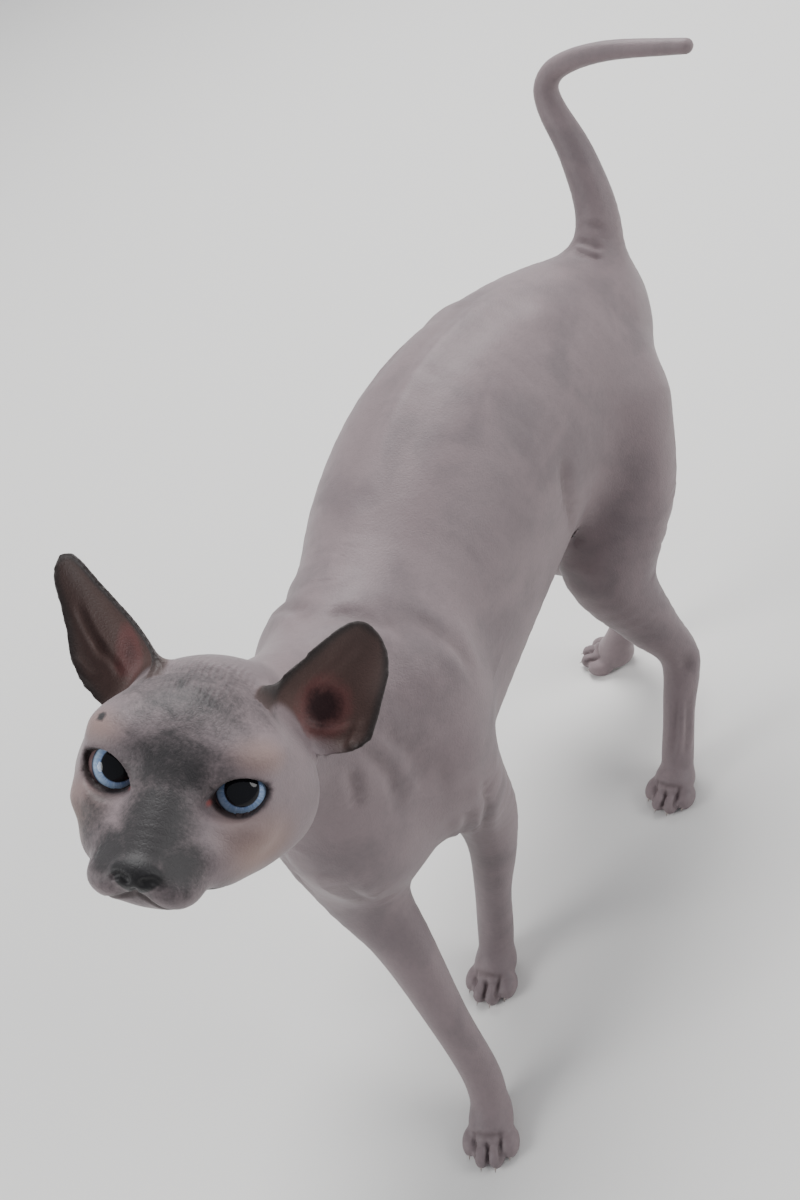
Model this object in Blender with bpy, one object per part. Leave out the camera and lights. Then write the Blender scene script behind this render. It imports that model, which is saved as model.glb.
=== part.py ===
"""A sphynx cat, life size, standing with one forepaw reached forward and its face turned up to its left.

Metres, +Z up. The cat faces -Y and its left side is +X. The body is one smooth field of named masses:
tubes and balls whose centres and half sizes are listed below, blended where they meet. Block shapes of the
same masses are joined by a voxel remesh, their points are slid onto the field, and thin discs part the
body where a person would name its parts. Eyeballs sit in sockets behind lids, and the ears are thin cups.
"""
import math

import bmesh
import bpy
import numpy as np
from mathutils import Matrix, Vector

# Driving dimensions in metres.
PART_GAP = 0.0003
MODEL_SHIFT = (0.0300, -0.0350, 0.0)
HEAD_PLACE = (-0.0129, -0.1512, 0.3086)
HEAD_TURN_DEG = 36.5
HEAD_NOD_DEG = -41.0
HEAD_TILT_DEG = 29.9
EYE_RADIUS = 0.0110
EYE_SPACING = 0.0452
EYE_BACK = 0.0095
LID_THICKNESS = 0.0013
LID_INNER_SCALE = 0.55
LID_OUTER_SCALE = 1.18
LID_REACH = 1.6
LID_NARROWING = 0.22
EYE_OPENING = (0.0116, 0.0064, 0.0078)
EYE_SLANT_DEG = 22.0
EYE_TURN_OUT_DEG = 8.0
BODY_VOXEL = 0.0026
HEAD_VOXEL = 0.0015
BODY_TRIANGLES = 7600
HEAD_TRIANGLES = 4600
EAR_THICKNESS = 0.0019
EAR_AXIS_SHARE = 0.75
EAR_START = -0.14
EAR_TIP_SHARE = 0.06
EAR_COLUMNS = 11
FLAT_HEIGHT = 0.0012
SHARP_EDGE_DEG = 50.0
FAR_MARGIN = 0.05

# Each station is a centre x, y, z with a half width and a half height.
TRUNK = (
    (-0.017, 0.214, 0.229, 0.027, 0.029),
    (-0.024, 0.190, 0.226, 0.042, 0.046),
    (-0.035, 0.150, 0.225, 0.053, 0.059),
    (-0.044, 0.105, 0.221, 0.059, 0.067),
    (-0.046, 0.060, 0.211, 0.058, 0.069),
    (-0.042, 0.015, 0.199, 0.051, 0.067),
    (-0.037, -0.030, 0.188, 0.044, 0.063),
    (-0.033, -0.072, 0.176, 0.035, 0.050),
)
NECK = (
    (-0.036, -0.030, 0.212, 0.038, 0.044),
    (-0.035, -0.062, 0.230, 0.032, 0.037),
    (-0.035, -0.090, 0.252, 0.028, 0.031),
    (-0.031, -0.112, 0.273, 0.027, 0.029),
)
TAIL = (
    (-0.016, 0.205, 0.234, 0.022, 0.022),
    (-0.014, 0.222, 0.252, 0.0150, 0.0150),
    (-0.014, 0.235, 0.276, 0.0110, 0.0110),
    (-0.023, 0.246, 0.303, 0.0088, 0.0088),
    (-0.036, 0.256, 0.324, 0.0070, 0.0070),
    (-0.037, 0.260, 0.335, 0.0062, 0.0062),
    (-0.027, 0.262, 0.343, 0.0055, 0.0055),
    (0.000, 0.258, 0.350, 0.0047, 0.0047),
    (0.042, 0.252, 0.352, 0.0036, 0.0036),
)
FORELEG_LEFT = (
    (-0.018, -0.026, 0.212, 0.024, 0.028),
    (-0.007, -0.040, 0.172, 0.022, 0.026),
    (-0.006, -0.030, 0.128, 0.0165, 0.0185),
    (-0.008, -0.032, 0.095, 0.0115, 0.0130),
    (-0.016, -0.038, 0.058, 0.0090, 0.0098),
    (-0.021, -0.044, 0.028, 0.0092, 0.0098),
    (-0.022, -0.051, 0.012, 0.0100, 0.0090),
)
FORELEG_RIGHT = (
    (-0.058, -0.034, 0.212, 0.024, 0.028),
    (-0.062, -0.070, 0.172, 0.024, 0.028),
    (-0.047, -0.086, 0.134, 0.0200, 0.0215),
    (-0.027, -0.096, 0.100, 0.0140, 0.0150),
    (-0.007, -0.111, 0.060, 0.0100, 0.0105),
    (0.005, -0.120, 0.028, 0.0094, 0.0098),
    (0.010, -0.128, 0.012, 0.0100, 0.0090),
)
HINDLEG_LEFT = (
    (-0.005, 0.168, 0.205, 0.030, 0.040),
    (0.002, 0.148, 0.170, 0.026, 0.036),
    (0.003, 0.122, 0.132, 0.0200, 0.0260),
    (0.017, 0.121, 0.095, 0.0135, 0.0180),
    (0.031, 0.121, 0.068, 0.0092, 0.0115),
    (0.031, 0.106, 0.040, 0.0080, 0.0090),
    (0.031, 0.091, 0.016, 0.0090, 0.0090),
)
HINDLEG_RIGHT = (
    (-0.050, 0.172, 0.205, 0.030, 0.040),
    (-0.060, 0.154, 0.170, 0.026, 0.036),
    (-0.059, 0.142, 0.132, 0.0190, 0.0260),
    (-0.036, 0.160, 0.094, 0.0128, 0.0170),
    (-0.014, 0.174, 0.060, 0.0092, 0.0115),
    (-0.024, 0.170, 0.034, 0.0082, 0.0090),
    (-0.034, 0.163, 0.015, 0.0090, 0.0090),
)
# A paw is the middle of its pad, the way its toes point in degrees from -Y towards +X, and its length.
PAWS = {
    "front_left": ((-0.021, -0.063), 4.0, 0.030),
    "front_right": ((0.014, -0.141), 18.0, 0.031),
    "hind_left": ((0.031, 0.075), -4.0, 0.031),
    "hind_right": ((-0.043, 0.160), -75.0, 0.030),
}
TOE_SPREAD = (-0.0102, -0.0036, 0.0036, 0.0102)
TOE_REACH = (-0.001, 0.0045, 0.0045, -0.001)
TOE_HALF = (0.0042, 0.0075, 0.0052)
TOE_SINK = 0.0014
TOE_AHEAD = 0.12
PAD_HALF = (0.0112, 0.0125, 0.0082)
PAD_HEIGHT = 0.0072
PAD_BACK = 0.18

# How widely each mass runs into those before it.
NECK_BLEND = 0.030
FORELEG_BLEND = 0.020
HINDLEG_BLEND = 0.016
TAIL_BLEND = 0.014
HEAD_BLEND = 0.014
MUZZLE_BLEND = 0.012
LID_BLEND = 0.004
PAD_BLEND = 0.006
TOE_BLEND = 0.0022
GROOVE_EDGE = 0.0012

# Head masses in the head's own axes, x to the cat's left, y to the back of the skull, z to the crown.
# Each ball is its centre, its half sizes and how softly it blends into those before it.
HEAD_BALLS = (
    ((0.0, 0.038, 0.010), (0.034, 0.040, 0.030), 0.001),
    ((0.0, 0.014, 0.009), (0.027, 0.018, 0.018), 0.012),
    ((0.0, 0.030, -0.018), (0.026, 0.030, 0.018), 0.012),
    ((0.0305, 0.0330, -0.0060), (0.0160, 0.0200, 0.0200), 0.012),
)
HEAD_PAIRS = (
    ((0.020, 0.012, 0.012), (0.015, 0.013, 0.010), 0.012),
    ((0.0245, 0.0160, -0.0060), (0.0128, 0.0190, 0.0130), 0.012),
    ((0.0260, 0.0320, -0.0060), (0.0150, 0.0200, 0.0190), 0.012),
    ((0.0190, 0.0220, -0.0225), (0.0135, 0.0220, 0.0125), 0.012),
    ((0.0150, 0.0010, -0.0225), (0.0125, 0.0160, 0.0115), 0.012),
    ((0.0185, 0.0050, 0.0115), (0.0125, 0.0080, 0.0050), 0.008),
    ((0.0255, 0.0050, -0.0120), (0.0095, 0.0085, 0.0050), 0.008),
)
MUZZLE = (
    (0.0, 0.012, 0.004, 0.019, 0.013),
    (0.0, -0.004, -0.009, 0.0125, 0.0115),
    (0.0, -0.0170, -0.0225, 0.0112, 0.0095),
)
MUZZLE_PAIRS = (
    ((0.0092, -0.0160, -0.0303), (0.0108, 0.0120, 0.0080), 0.006),
)
MUZZLE_BALLS = (
    ((0.0010, -0.0095, -0.0348), (0.0120, 0.0115, 0.0060), 0.004),
    ((-0.0005, -0.0272, -0.0258), (0.0086, 0.0046, 0.0050), 0.004),
)
# The line of the mouth, from under the nose round to one corner, and the slit of a nostril. Each is laid on
# the surface before it is cut.
MOUTH = (
    (0.0, -0.0320, -0.0325, 0.0009, 0.0009),
    (0.0004, -0.0290, -0.0355, 0.0010, 0.0010),
    (0.0060, -0.0260, -0.0378, 0.0011, 0.0011),
    (0.0130, -0.0190, -0.0378, 0.0011, 0.0011),
    (0.0190, -0.0080, -0.0355, 0.0010, 0.0010),
    (0.0235, 0.0040, -0.0320, 0.0007, 0.0007),
)
NOSTRIL = (
    (0.0034, -0.0325, -0.0272, 0.0014, 0.0014),
    (0.0056, -0.0305, -0.0262, 0.0012, 0.0012),
    (0.0074, -0.0280, -0.0275, 0.0007, 0.0007),
)
# Ears: root, tip and the way each opens, then rows from root to tip of the radius of its curl and of how far,
# in degrees, the sheet goes round towards the crown and towards the cheek.
EAR_BASES = {"left": (0.034, 0.037, 0.017), "right": (0.024, 0.040, 0.017)}
EAR_TIPS = {"left": (0.0545, 0.041, 0.0622), "right": (0.0675, 0.040, 0.0665)}
EAR_FACING = {"left": (0.35, -1.0, 0.0), "right": (0.40, -1.0, 0.0)}
EAR_ROWS = {
    "left": (
        (0.0170, 92.0, 20.0),
        (0.0185, 74.0, 58.0),
        (0.0235, 48.0, 67.0),
        (0.0235, 41.0, 62.0),
        (0.0215, 36.0, 57.0),
        (0.0205, 33.0, 51.0),
        (0.0195, 32.0, 48.0),
    ),
    "right": (
        (0.0170, 92.0, 32.0),
        (0.0190, 84.0, 50.0),
        (0.0210, 70.0, 55.0),
        (0.0200, 56.0, 57.0),
        (0.0165, 50.0, 50.0),
        (0.0130, 44.0, 44.0),
        (0.0110, 40.0, 40.0),
    ),
}
EAR_ROUNDING = {"left": 0.36, "right": 0.18}

SKIN = ("skin", (0.47, 0.38, 0.39), 0.55)
FACE = ("face", (0.34, 0.28, 0.28), 0.55)
EAR_SKIN = ("ear_skin", (0.22, 0.14, 0.13), 0.60)
IRIS = ("eye", (0.33, 0.45, 0.62), 0.08)


def clear_scene():
    for item in list(bpy.data.objects):
        bpy.data.objects.remove(item, do_unlink=True)


def material(spec):
    """A plain Principled finish from a name, a colour and a roughness."""
    name, colour, roughness = spec
    found = bpy.data.materials.get(name)
    if found:
        return found
    made = bpy.data.materials.new(name)
    made.use_nodes = True
    shader = made.node_tree.nodes["Principled BSDF"]
    shader.inputs["Base Color"].default_value = (*colour, 1.0)
    shader.inputs["Roughness"].default_value = roughness
    made.diffuse_color = (*colour, 1.0)
    return made


def head_axes():
    """The turn that carries the head's own axes into the cat's."""
    turn = Matrix.Rotation(math.radians(HEAD_TURN_DEG), 3, "Z")
    nod = Matrix.Rotation(math.radians(HEAD_NOD_DEG), 3, "X")
    tilt = Matrix.Rotation(math.radians(HEAD_TILT_DEG), 3, "Y")
    return np.array(turn @ nod @ tilt)


def from_head(points):
    return np.asarray(points, float) @ head_axes().T + np.array(HEAD_PLACE)


def to_head(points):
    return (np.asarray(points, float) - np.array(HEAD_PLACE)) @ head_axes()


def smooth_path(stations, steps=5):
    """Stations filled in along a smooth curve through them."""
    given = np.array(stations, float)
    padded = np.vstack((2 * given[0] - given[1], given, 2 * given[-1] - given[-2]))
    rows = []
    for i in range(len(given) - 1):
        before, start, end, after = padded[i : i + 4]
        for step in range(steps):
            t = step / steps
            rows.append(
                0.5 * (2 * start + (end - before) * t
                       + (2 * before - 5 * start + 4 * end - after) * t * t
                       + (3 * start - before - 3 * end + after) * t ** 3)
            )
    rows.append(given[-1])
    return np.array(rows)


def tube_distance(points, path, top=(0.0, 0.0, 1.0)):
    """Distance to a tube of elliptical section, with round ends."""
    reach = path[:, 3:].max() + FAR_MARGIN
    near = ((points > path[:, :3].min(axis=0) - reach) & (points < path[:, :3].max(axis=0) + reach)).all(axis=1)
    whole = np.full(len(points), FAR_MARGIN)
    points = points[near]
    best = np.full(len(points), FAR_MARGIN)
    for start, end in zip(path[:-1], path[1:]):
        axis = end[:3] - start[:3]
        length = np.linalg.norm(axis)
        axis = axis / length
        side = np.cross(top, axis)
        side = side / np.linalg.norm(side)
        upper = np.cross(axis, side)
        offset = points - start[:3]
        along = np.clip(offset @ axis / length, 0.0, 1.0)
        half = start[3:] + np.outer(along, end[3:] - start[3:])
        offset = offset - np.outer(along * length, axis)
        wide, high, over = offset @ side, offset @ upper, offset @ axis
        mean = half.mean(axis=1)
        inside = np.sqrt((wide / half[:, 0]) ** 2 + (high / half[:, 1]) ** 2 + (over / mean) ** 2)
        slope = np.sqrt(
            (wide / half[:, 0] ** 2) ** 2 + (high / half[:, 1] ** 2) ** 2 + (over / mean ** 2) ** 2
        )
        best = np.minimum(best, inside * (inside - 1.0) / np.maximum(slope, 1e-9))
    whole[near] = best
    return whole


def ball_distance(points, centre, half, turn=None):
    """Distance to an ellipsoid."""
    near = (np.abs(points - np.array(centre)) < max(half) + FAR_MARGIN).all(axis=1)
    whole = np.full(len(points), FAR_MARGIN)
    offset = points[near] - np.array(centre)
    if turn is not None:
        offset = offset @ turn
    inside = np.linalg.norm(offset / np.array(half), axis=1)
    slope = np.linalg.norm(offset / np.array(half) ** 2, axis=1)
    whole[near] = inside * (inside - 1.0) / np.maximum(slope, 1e-9)
    return whole


def blend(first, second, width):
    """Union of two distances with a fillet about this wide."""
    near = np.maximum(width - np.abs(first - second), 0.0) / width
    return np.minimum(first, second) - near * near * width * 0.25


def toe_balls(paw):
    """Centre, half sizes and turn of each toe of a paw, with the pad behind them last."""
    (x, y), turn_deg, length = PAWS[paw]
    angle = math.radians(turn_deg)
    ahead = np.array((math.sin(angle), -math.cos(angle), 0.0))
    across = np.array((math.cos(angle), math.sin(angle), 0.0))
    turn = np.column_stack((across, -ahead, (0.0, 0.0, 1.0)))
    found = []
    for spread, reach in zip(TOE_SPREAD, TOE_REACH):
        centre = np.array((x, y, TOE_HALF[2] - TOE_SINK)) + across * spread + ahead * (reach + length * TOE_AHEAD)
        found.append((centre, TOE_HALF, turn))
    pad = np.array((x, y, PAD_HEIGHT)) - ahead * length * PAD_BACK
    found.append((pad, PAD_HALF, turn))
    return found


def eye_axes(sign):
    """Across, out and up for one eye, in the head's own axes."""
    turn = math.radians(EYE_TURN_OUT_DEG) * sign
    out = np.array((math.sin(turn), -math.cos(turn), 0.0))
    across = np.array((math.cos(turn), math.sin(turn), 0.0))
    return across, out, np.array((0.0, 0.0, 1.0))


def eye_centre(sign):
    return np.array((sign * EYE_SPACING / 2, EYE_BACK, 0.0))


def mirrored(centre, sign):
    return (centre[0] * sign, centre[1], centre[2])


def head_masses(own):
    """The head without its ears in its own axes, before its mouth and nostrils are cut."""
    found = ball_distance(own, *HEAD_BALLS[0][:2])
    for centre, half, width in HEAD_BALLS[1:]:
        found = blend(found, ball_distance(own, centre, half), width)
    for centre, half, width in HEAD_PAIRS:
        for sign in (1, -1):
            found = blend(found, ball_distance(own, mirrored(centre, sign), half), width)
    found = blend(found, tube_distance(own, smooth_path(MUZZLE)), MUZZLE_BLEND)
    for centre, half, width in MUZZLE_PAIRS:
        for sign in (1, -1):
            found = blend(found, ball_distance(own, mirrored(centre, sign), half), width)
    for centre, half, width in MUZZLE_BALLS:
        found = blend(found, ball_distance(own, centre, half), width)
    lid = EYE_RADIUS + LID_THICKNESS
    for sign in (1, -1):
        found = blend(found, ball_distance(own, eye_centre(sign), (lid, lid, lid)), LID_BLEND)
    return found


def slide_to(distance, points, rounds=4):
    """Moves points along a distance's slope until they lie on its surface."""
    step = 0.0002
    for _ in range(rounds):
        here = distance(points)
        slope = np.empty_like(points)
        for i in range(3):
            moved = points.copy()
            moved[:, i] += step
            slope[:, i] = (distance(moved) - here) / step
        size = np.maximum((slope ** 2).sum(axis=1), 0.05)
        move = np.clip(here / size, -0.006, 0.006)
        points = points - slope * move[:, None]
    return points


def on_face(stations):
    """A groove's stations laid on the face."""
    path = smooth_path(stations)
    path[:, :3] = slide_to(head_masses, path[:, :3])
    return path


GROOVES = [on_face(MOUTH), on_face(NOSTRIL)]


def head_distance(points):
    """The head with its mouth and nostrils cut in."""
    own = to_head(points)
    found = head_masses(own)
    folded = np.column_stack((np.abs(own[:, 0]), own[:, 1:]))
    for groove in GROOVES:
        found = -blend(-found, tube_distance(folded, groove), GROOVE_EDGE)
    return found


def body_distance(points):
    """The whole cat without its ears: below zero inside, above zero outside."""
    found = tube_distance(points, smooth_path(TRUNK), (0.0, 0.0, 1.0))
    found = blend(found, tube_distance(points, smooth_path(NECK), (0.0, 0.5, 1.0)), NECK_BLEND)
    for leg, width in ((FORELEG_LEFT, FORELEG_BLEND), (FORELEG_RIGHT, FORELEG_BLEND),
                       (HINDLEG_LEFT, HINDLEG_BLEND), (HINDLEG_RIGHT, HINDLEG_BLEND)):
        found = blend(found, tube_distance(points, smooth_path(leg), (1.0, 0.0, 0.0)), width)
    found = blend(found, tube_distance(points, smooth_path(TAIL), (1.0, 0.0, 0.3)), TAIL_BLEND)
    found = blend(found, head_distance(points), HEAD_BLEND)
    for paw in PAWS:
        balls = toe_balls(paw)
        found = blend(found, ball_distance(points, *balls[-1]), PAD_BLEND)
        for ball in balls[:-1]:
            found = blend(found, ball_distance(points, *ball), TOE_BLEND)
    return np.maximum(found, -points[:, 2])


def block_shape(masses):
    """Round blocks that stand in for tubes and balls until they are slid onto the field."""
    shape = bmesh.new()
    for centre, half, turn in masses:
        ball = bmesh.ops.create_icosphere(shape, subdivisions=2, radius=1.0)
        place = Matrix.Translation(Vector(centre)) @ Matrix(turn).to_4x4() @ Matrix.Diagonal((*half, 1.0))
        bmesh.ops.transform(shape, matrix=place, verts=ball["verts"])
    return shape


def path_blocks(stations):
    rows = smooth_path(stations, steps=12)
    return [(row[:3], [row[3:].mean()] * 3, np.eye(3)) for row in rows]


def head_blocks():
    axes = head_axes()
    lid = EYE_RADIUS + LID_THICKNESS
    balls = [ball[:2] for ball in HEAD_BALLS + MUZZLE_BALLS]
    pairs = [pair[:2] for pair in HEAD_PAIRS + MUZZLE_PAIRS] + [(eye_centre(1), (lid, lid, lid))]
    balls += [(mirrored(centre, sign), half) for centre, half in pairs for sign in (1, -1)]
    balls += [(row[:3], [row[3:].mean()] * 3) for row in smooth_path(MUZZLE)]
    return [(from_head(centre), half, axes) for centre, half in balls]


def all_blocks():
    blocks = []
    for stations in (TRUNK, NECK, TAIL, FORELEG_LEFT, FORELEG_RIGHT, HINDLEG_LEFT, HINDLEG_RIGHT):
        blocks += path_blocks(stations)
    for paw in PAWS:
        blocks += toe_balls(paw)
    return blocks + head_blocks()


def new_object(name, shape, spec):
    mesh = bpy.data.meshes.new(name)
    shape.to_mesh(mesh)
    shape.free()
    made = bpy.data.objects.new(name, mesh)
    bpy.context.collection.objects.link(made)
    mesh.materials.append(material(spec))
    return made


def apply_modifiers(item):
    """Replaces an object's mesh with what its modifiers make of it."""
    graph = bpy.context.evaluated_depsgraph_get()
    graph.update()
    mesh = bpy.data.meshes.new_from_object(item.evaluated_get(graph))
    item.modifiers.clear()
    item.data = mesh


def coordinates(mesh):
    points = np.empty(len(mesh.vertices) * 3)
    mesh.vertices.foreach_get("co", points)
    return points.reshape(-1, 3)


def place_coordinates(mesh, points):
    mesh.vertices.foreach_set("co", np.asarray(points, float).ravel())
    mesh.update()


def relaxed(mesh, points):
    """Each point moved half way to the middle of its neighbours."""
    edges = np.empty(len(mesh.edges) * 2, int)
    mesh.edges.foreach_get("vertices", edges)
    edges = edges.reshape(-1, 2)
    total = np.zeros_like(points)
    count = np.zeros(len(points))
    for a, b in ((0, 1), (1, 0)):
        np.add.at(total, edges[:, a], points[edges[:, b]])
        np.add.at(count, edges[:, a], 1)
    return points * 0.5 + total / count[:, None] * 0.5


def skin_of(name, blocks, voxel, triangles):
    """A closed skin on the field around the blocks, thinned, with flats where it stands on the floor."""
    item = new_object(name, block_shape(blocks), SKIN)
    remesh = item.modifiers.new("voxels", "REMESH")
    remesh.mode = "VOXEL"
    remesh.voxel_size = voxel
    apply_modifiers(item)
    mesh = item.data
    points = slide_to(body_distance, coordinates(mesh))
    for _ in range(2):
        points = slide_to(body_distance, relaxed(mesh, points), rounds=2)
    place_coordinates(mesh, points)
    thin = item.modifiers.new("thin", "DECIMATE")
    thin.ratio = min(1.0, triangles / (2.0 * len(mesh.polygons)))
    thin.use_collapse_triangulate = True
    apply_modifiers(item)
    points = coordinates(item.data)
    points[points[:, 2] < FLAT_HEIGHT, 2] = 0.0
    place_coordinates(item.data, points)
    return item


def cutting_disc(name, place, normal, radius):
    shape = bmesh.new()
    bmesh.ops.create_cone(
        shape, cap_ends=True, segments=24, radius1=radius, radius2=radius, depth=PART_GAP
    )
    turn = Vector(normal).to_track_quat("Z", "Y").to_matrix().to_4x4()
    bmesh.ops.transform(shape, matrix=Matrix.Translation(Vector(place)) @ turn, verts=shape.verts)
    disc = new_object(name, shape, SKIN)
    disc.hide_render = True
    disc.display_type = "WIRE"
    return disc


def cut_away(item, cutters):
    """Takes the cutters out of an object and removes them."""
    for cutter in cutters:
        cut = item.modifiers.new(cutter.name, "BOOLEAN")
        cut.operation = "DIFFERENCE"
        cut.solver = "MANIFOLD"
        cut.object = cutter
    apply_modifiers(item)
    for cutter in cutters:
        bpy.data.objects.remove(cutter, do_unlink=True)


def loose_parts(mesh):
    """Lists of face numbers, one list for each closed surface."""
    shape = bmesh.new()
    shape.from_mesh(mesh)
    shape.faces.ensure_lookup_table()
    seen = [False] * len(shape.faces)
    parts = []
    for face in shape.faces:
        if seen[face.index]:
            continue
        seen[face.index] = True
        group, edge_of = [face.index], [face]
        while edge_of:
            for edge in edge_of.pop().edges:
                for other in edge.link_faces:
                    if not seen[other.index]:
                        seen[other.index] = True
                        group.append(other.index)
                        edge_of.append(other)
        parts.append(group)
    shape.free()
    return parts


def part_object(name, source, faces, spec):
    """A new object from some faces of another."""
    shape = bmesh.new()
    shape.from_mesh(source.data)
    shape.faces.ensure_lookup_table()
    keep = set(faces)
    drop = [face for face in shape.faces if face.index not in keep]
    bmesh.ops.delete(shape, geom=drop, context="FACES")
    made = new_object(name, shape, spec)
    for polygon in made.data.polygons:
        polygon.use_smooth = True
        polygon.material_index = 0
    made.data.set_sharp_from_angle(angle=math.radians(SHARP_EDGE_DEG))
    return made


def middle_of(mesh, faces):
    areas = np.array([mesh.polygons[i].area for i in faces])
    centres = np.array([mesh.polygons[i].center for i in faces])
    return (centres * areas[:, None]).sum(axis=0) / areas.sum()


def station(path, index):
    given = np.array(path, float)[:, :3]
    whole = int(index)
    return given[whole] + (given[whole + 1] - given[whole]) * (index - whole)


def part_at(path, index, radius, name, lean=(0.0, 0.0, 0.0)):
    """A disc across a path at a station, leaned by the vector given."""
    given = np.array(path, float)[:, :3]
    along = given[int(index) + 1] - given[int(index)]
    along = along / np.linalg.norm(along) + np.array(lean)
    return cutting_disc(name, station(path, index), along, radius)


def head_cut():
    return cutting_disc("cut_head", from_head((0.0, 0.060, 0.0)), -head_axes()[:, 1], 0.060)


def body_cuts():
    return [
        head_cut(),
        cutting_disc("cut_neck", station(NECK, 1.2), (0.0, -0.50, 0.85), 0.064),
        cutting_disc("cut_waist", (-0.042, 0.070, 0.205), (0.0, 1.0, 0.0), 0.088),
        part_at(TAIL, 1.35, 0.024, "cut_tail_root", lean=(0.0, 0.35, 0.0)),
        part_at(TAIL, 3.0, 0.018, "cut_tail_middle"),
        part_at(TAIL, 6.0, 0.015, "cut_tail_tip"),
        part_at(FORELEG_LEFT, 2.4, 0.024, "cut_elbow_left"),
        part_at(FORELEG_RIGHT, 2.5, 0.030, "cut_elbow_right", lean=(-0.25, 0.0, 0.0)),
        part_at(FORELEG_LEFT, 5.0, 0.020, "cut_wrist_left"),
        part_at(FORELEG_RIGHT, 5.0, 0.020, "cut_wrist_right"),
        cutting_disc("cut_hips", (-0.026, 0.155, 0.143), (0.0, 0.0, 1.0), 0.068),
        part_at(HINDLEG_LEFT, 2.3, 0.029, "cut_knee_left"),
        part_at(HINDLEG_RIGHT, 2.45, 0.028, "cut_knee_right"),
        part_at(HINDLEG_LEFT, 4.4, 0.020, "cut_hock_left"),
        part_at(HINDLEG_RIGHT, 4.4, 0.020, "cut_hock_right"),
    ]


def name_points():
    """A point near the middle of each named part."""
    return {
        "head": from_head((0.0, 0.015, -0.010)),
        "neck": station(NECK, 1.9),
        "chest": (-0.038, 0.000, 0.195),
        "abdomen": (-0.035, 0.140, 0.220),
        "tail_root": station(TAIL, 2.0),
        "tail_middle": station(TAIL, 4.3),
        "tail_tip": station(TAIL, 7.0),
        "foreleg_left": station(FORELEG_LEFT, 3.6),
        "foreleg_right": station(FORELEG_RIGHT, 3.6),
        "forepaw_left": (*PAWS["front_left"][0], 0.010),
        "forepaw_right": (*PAWS["front_right"][0], 0.010),
        "thigh_left": station(HINDLEG_LEFT, 2.0),
        "thigh_right": station(HINDLEG_RIGHT, 2.0),
        "shank_left": station(HINDLEG_LEFT, 3.2),
        "shank_right": station(HINDLEG_RIGHT, 3.2),
        "hindfoot_left": station(HINDLEG_LEFT, 5.5),
        "hindfoot_right": station(HINDLEG_RIGHT, 5.5),
    }


def part_body(source, wanted):
    """Names the loose parts of a cut skin, each from the point nearest its middle."""
    points = name_points()
    best = {}
    for faces in loose_parts(source.data):
        middle = middle_of(source.data, faces)
        name = min(points, key=lambda key: np.linalg.norm(np.array(points[key]) - middle))
        if name not in best or len(faces) > len(best[name]):
            best[name] = faces
    for name in wanted:
        part_object(name, source, best[name], FACE if name == "head" else SKIN)
    bpy.data.objects.remove(source, do_unlink=True)


def ball_object(name, centre, radius, spec):
    shape = bmesh.new()
    bmesh.ops.create_icosphere(shape, subdivisions=3, radius=radius)
    bmesh.ops.transform(shape, matrix=Matrix.Translation(Vector(centre)), verts=shape.verts)
    made = new_object(name, shape, spec)
    for polygon in made.data.polygons:
        polygon.use_smooth = True
    return made


def lid_opening(name, sign):
    """An almond prism from the eyeball's middle out through the lids."""
    across, out, upward = eye_axes(sign)
    slant = math.radians(EYE_SLANT_DEG) * sign
    half_width, above, below = EYE_OPENING
    shape = bmesh.new()
    rings = []
    for reach, scale in ((0.0, LID_INNER_SCALE), (EYE_RADIUS * LID_REACH, LID_OUTER_SCALE)):
        ring = []
        for i in range(20):
            angle = 2.0 * math.pi * i / 20
            wide = half_width * math.cos(angle)
            high = (above if math.sin(angle) > 0 else below) * math.sin(angle)
            high *= 1.0 - LID_NARROWING * math.cos(angle) ** 2
            turned = (wide * math.cos(slant) - high * math.sin(slant),
                      wide * math.sin(slant) + high * math.cos(slant))
            place = eye_centre(sign) + out * reach + (across * turned[0] + upward * turned[1]) * scale
            ring.append(shape.verts.new(from_head(place)))
        rings.append(ring)
    shape.faces.new(rings[0])
    shape.faces.new(list(reversed(rings[1])))
    bmesh.ops.bridge_loops(shape, edges=[e for e in shape.edges])
    bmesh.ops.recalc_face_normals(shape, faces=shape.faces)
    bmesh.ops.triangulate(shape, faces=shape.faces)
    made = new_object(name, shape, SKIN)
    made.hide_render = True
    made.display_type = "WIRE"
    return made


def ear_rows(side, steps=3):
    """Reach along the ear, radius of its curl and its curls to crown and to cheek, from root to tip."""
    rows = smooth_path(EAR_ROWS[side], steps=steps)
    reach = EAR_START + (1.0 - EAR_START) * np.linspace(0.0, 1.0, len(rows))
    into_tip = np.clip((reach - 1.0) / EAR_ROUNDING[side] + 1.0, 0.0, 1.0)
    rounding = np.maximum(np.sqrt(1.0 - into_tip ** 2), EAR_TIP_SHARE)
    return reach, rows[:, 0], np.radians(rows[:, 1]) * rounding, np.radians(rows[:, 2]) * rounding


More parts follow.
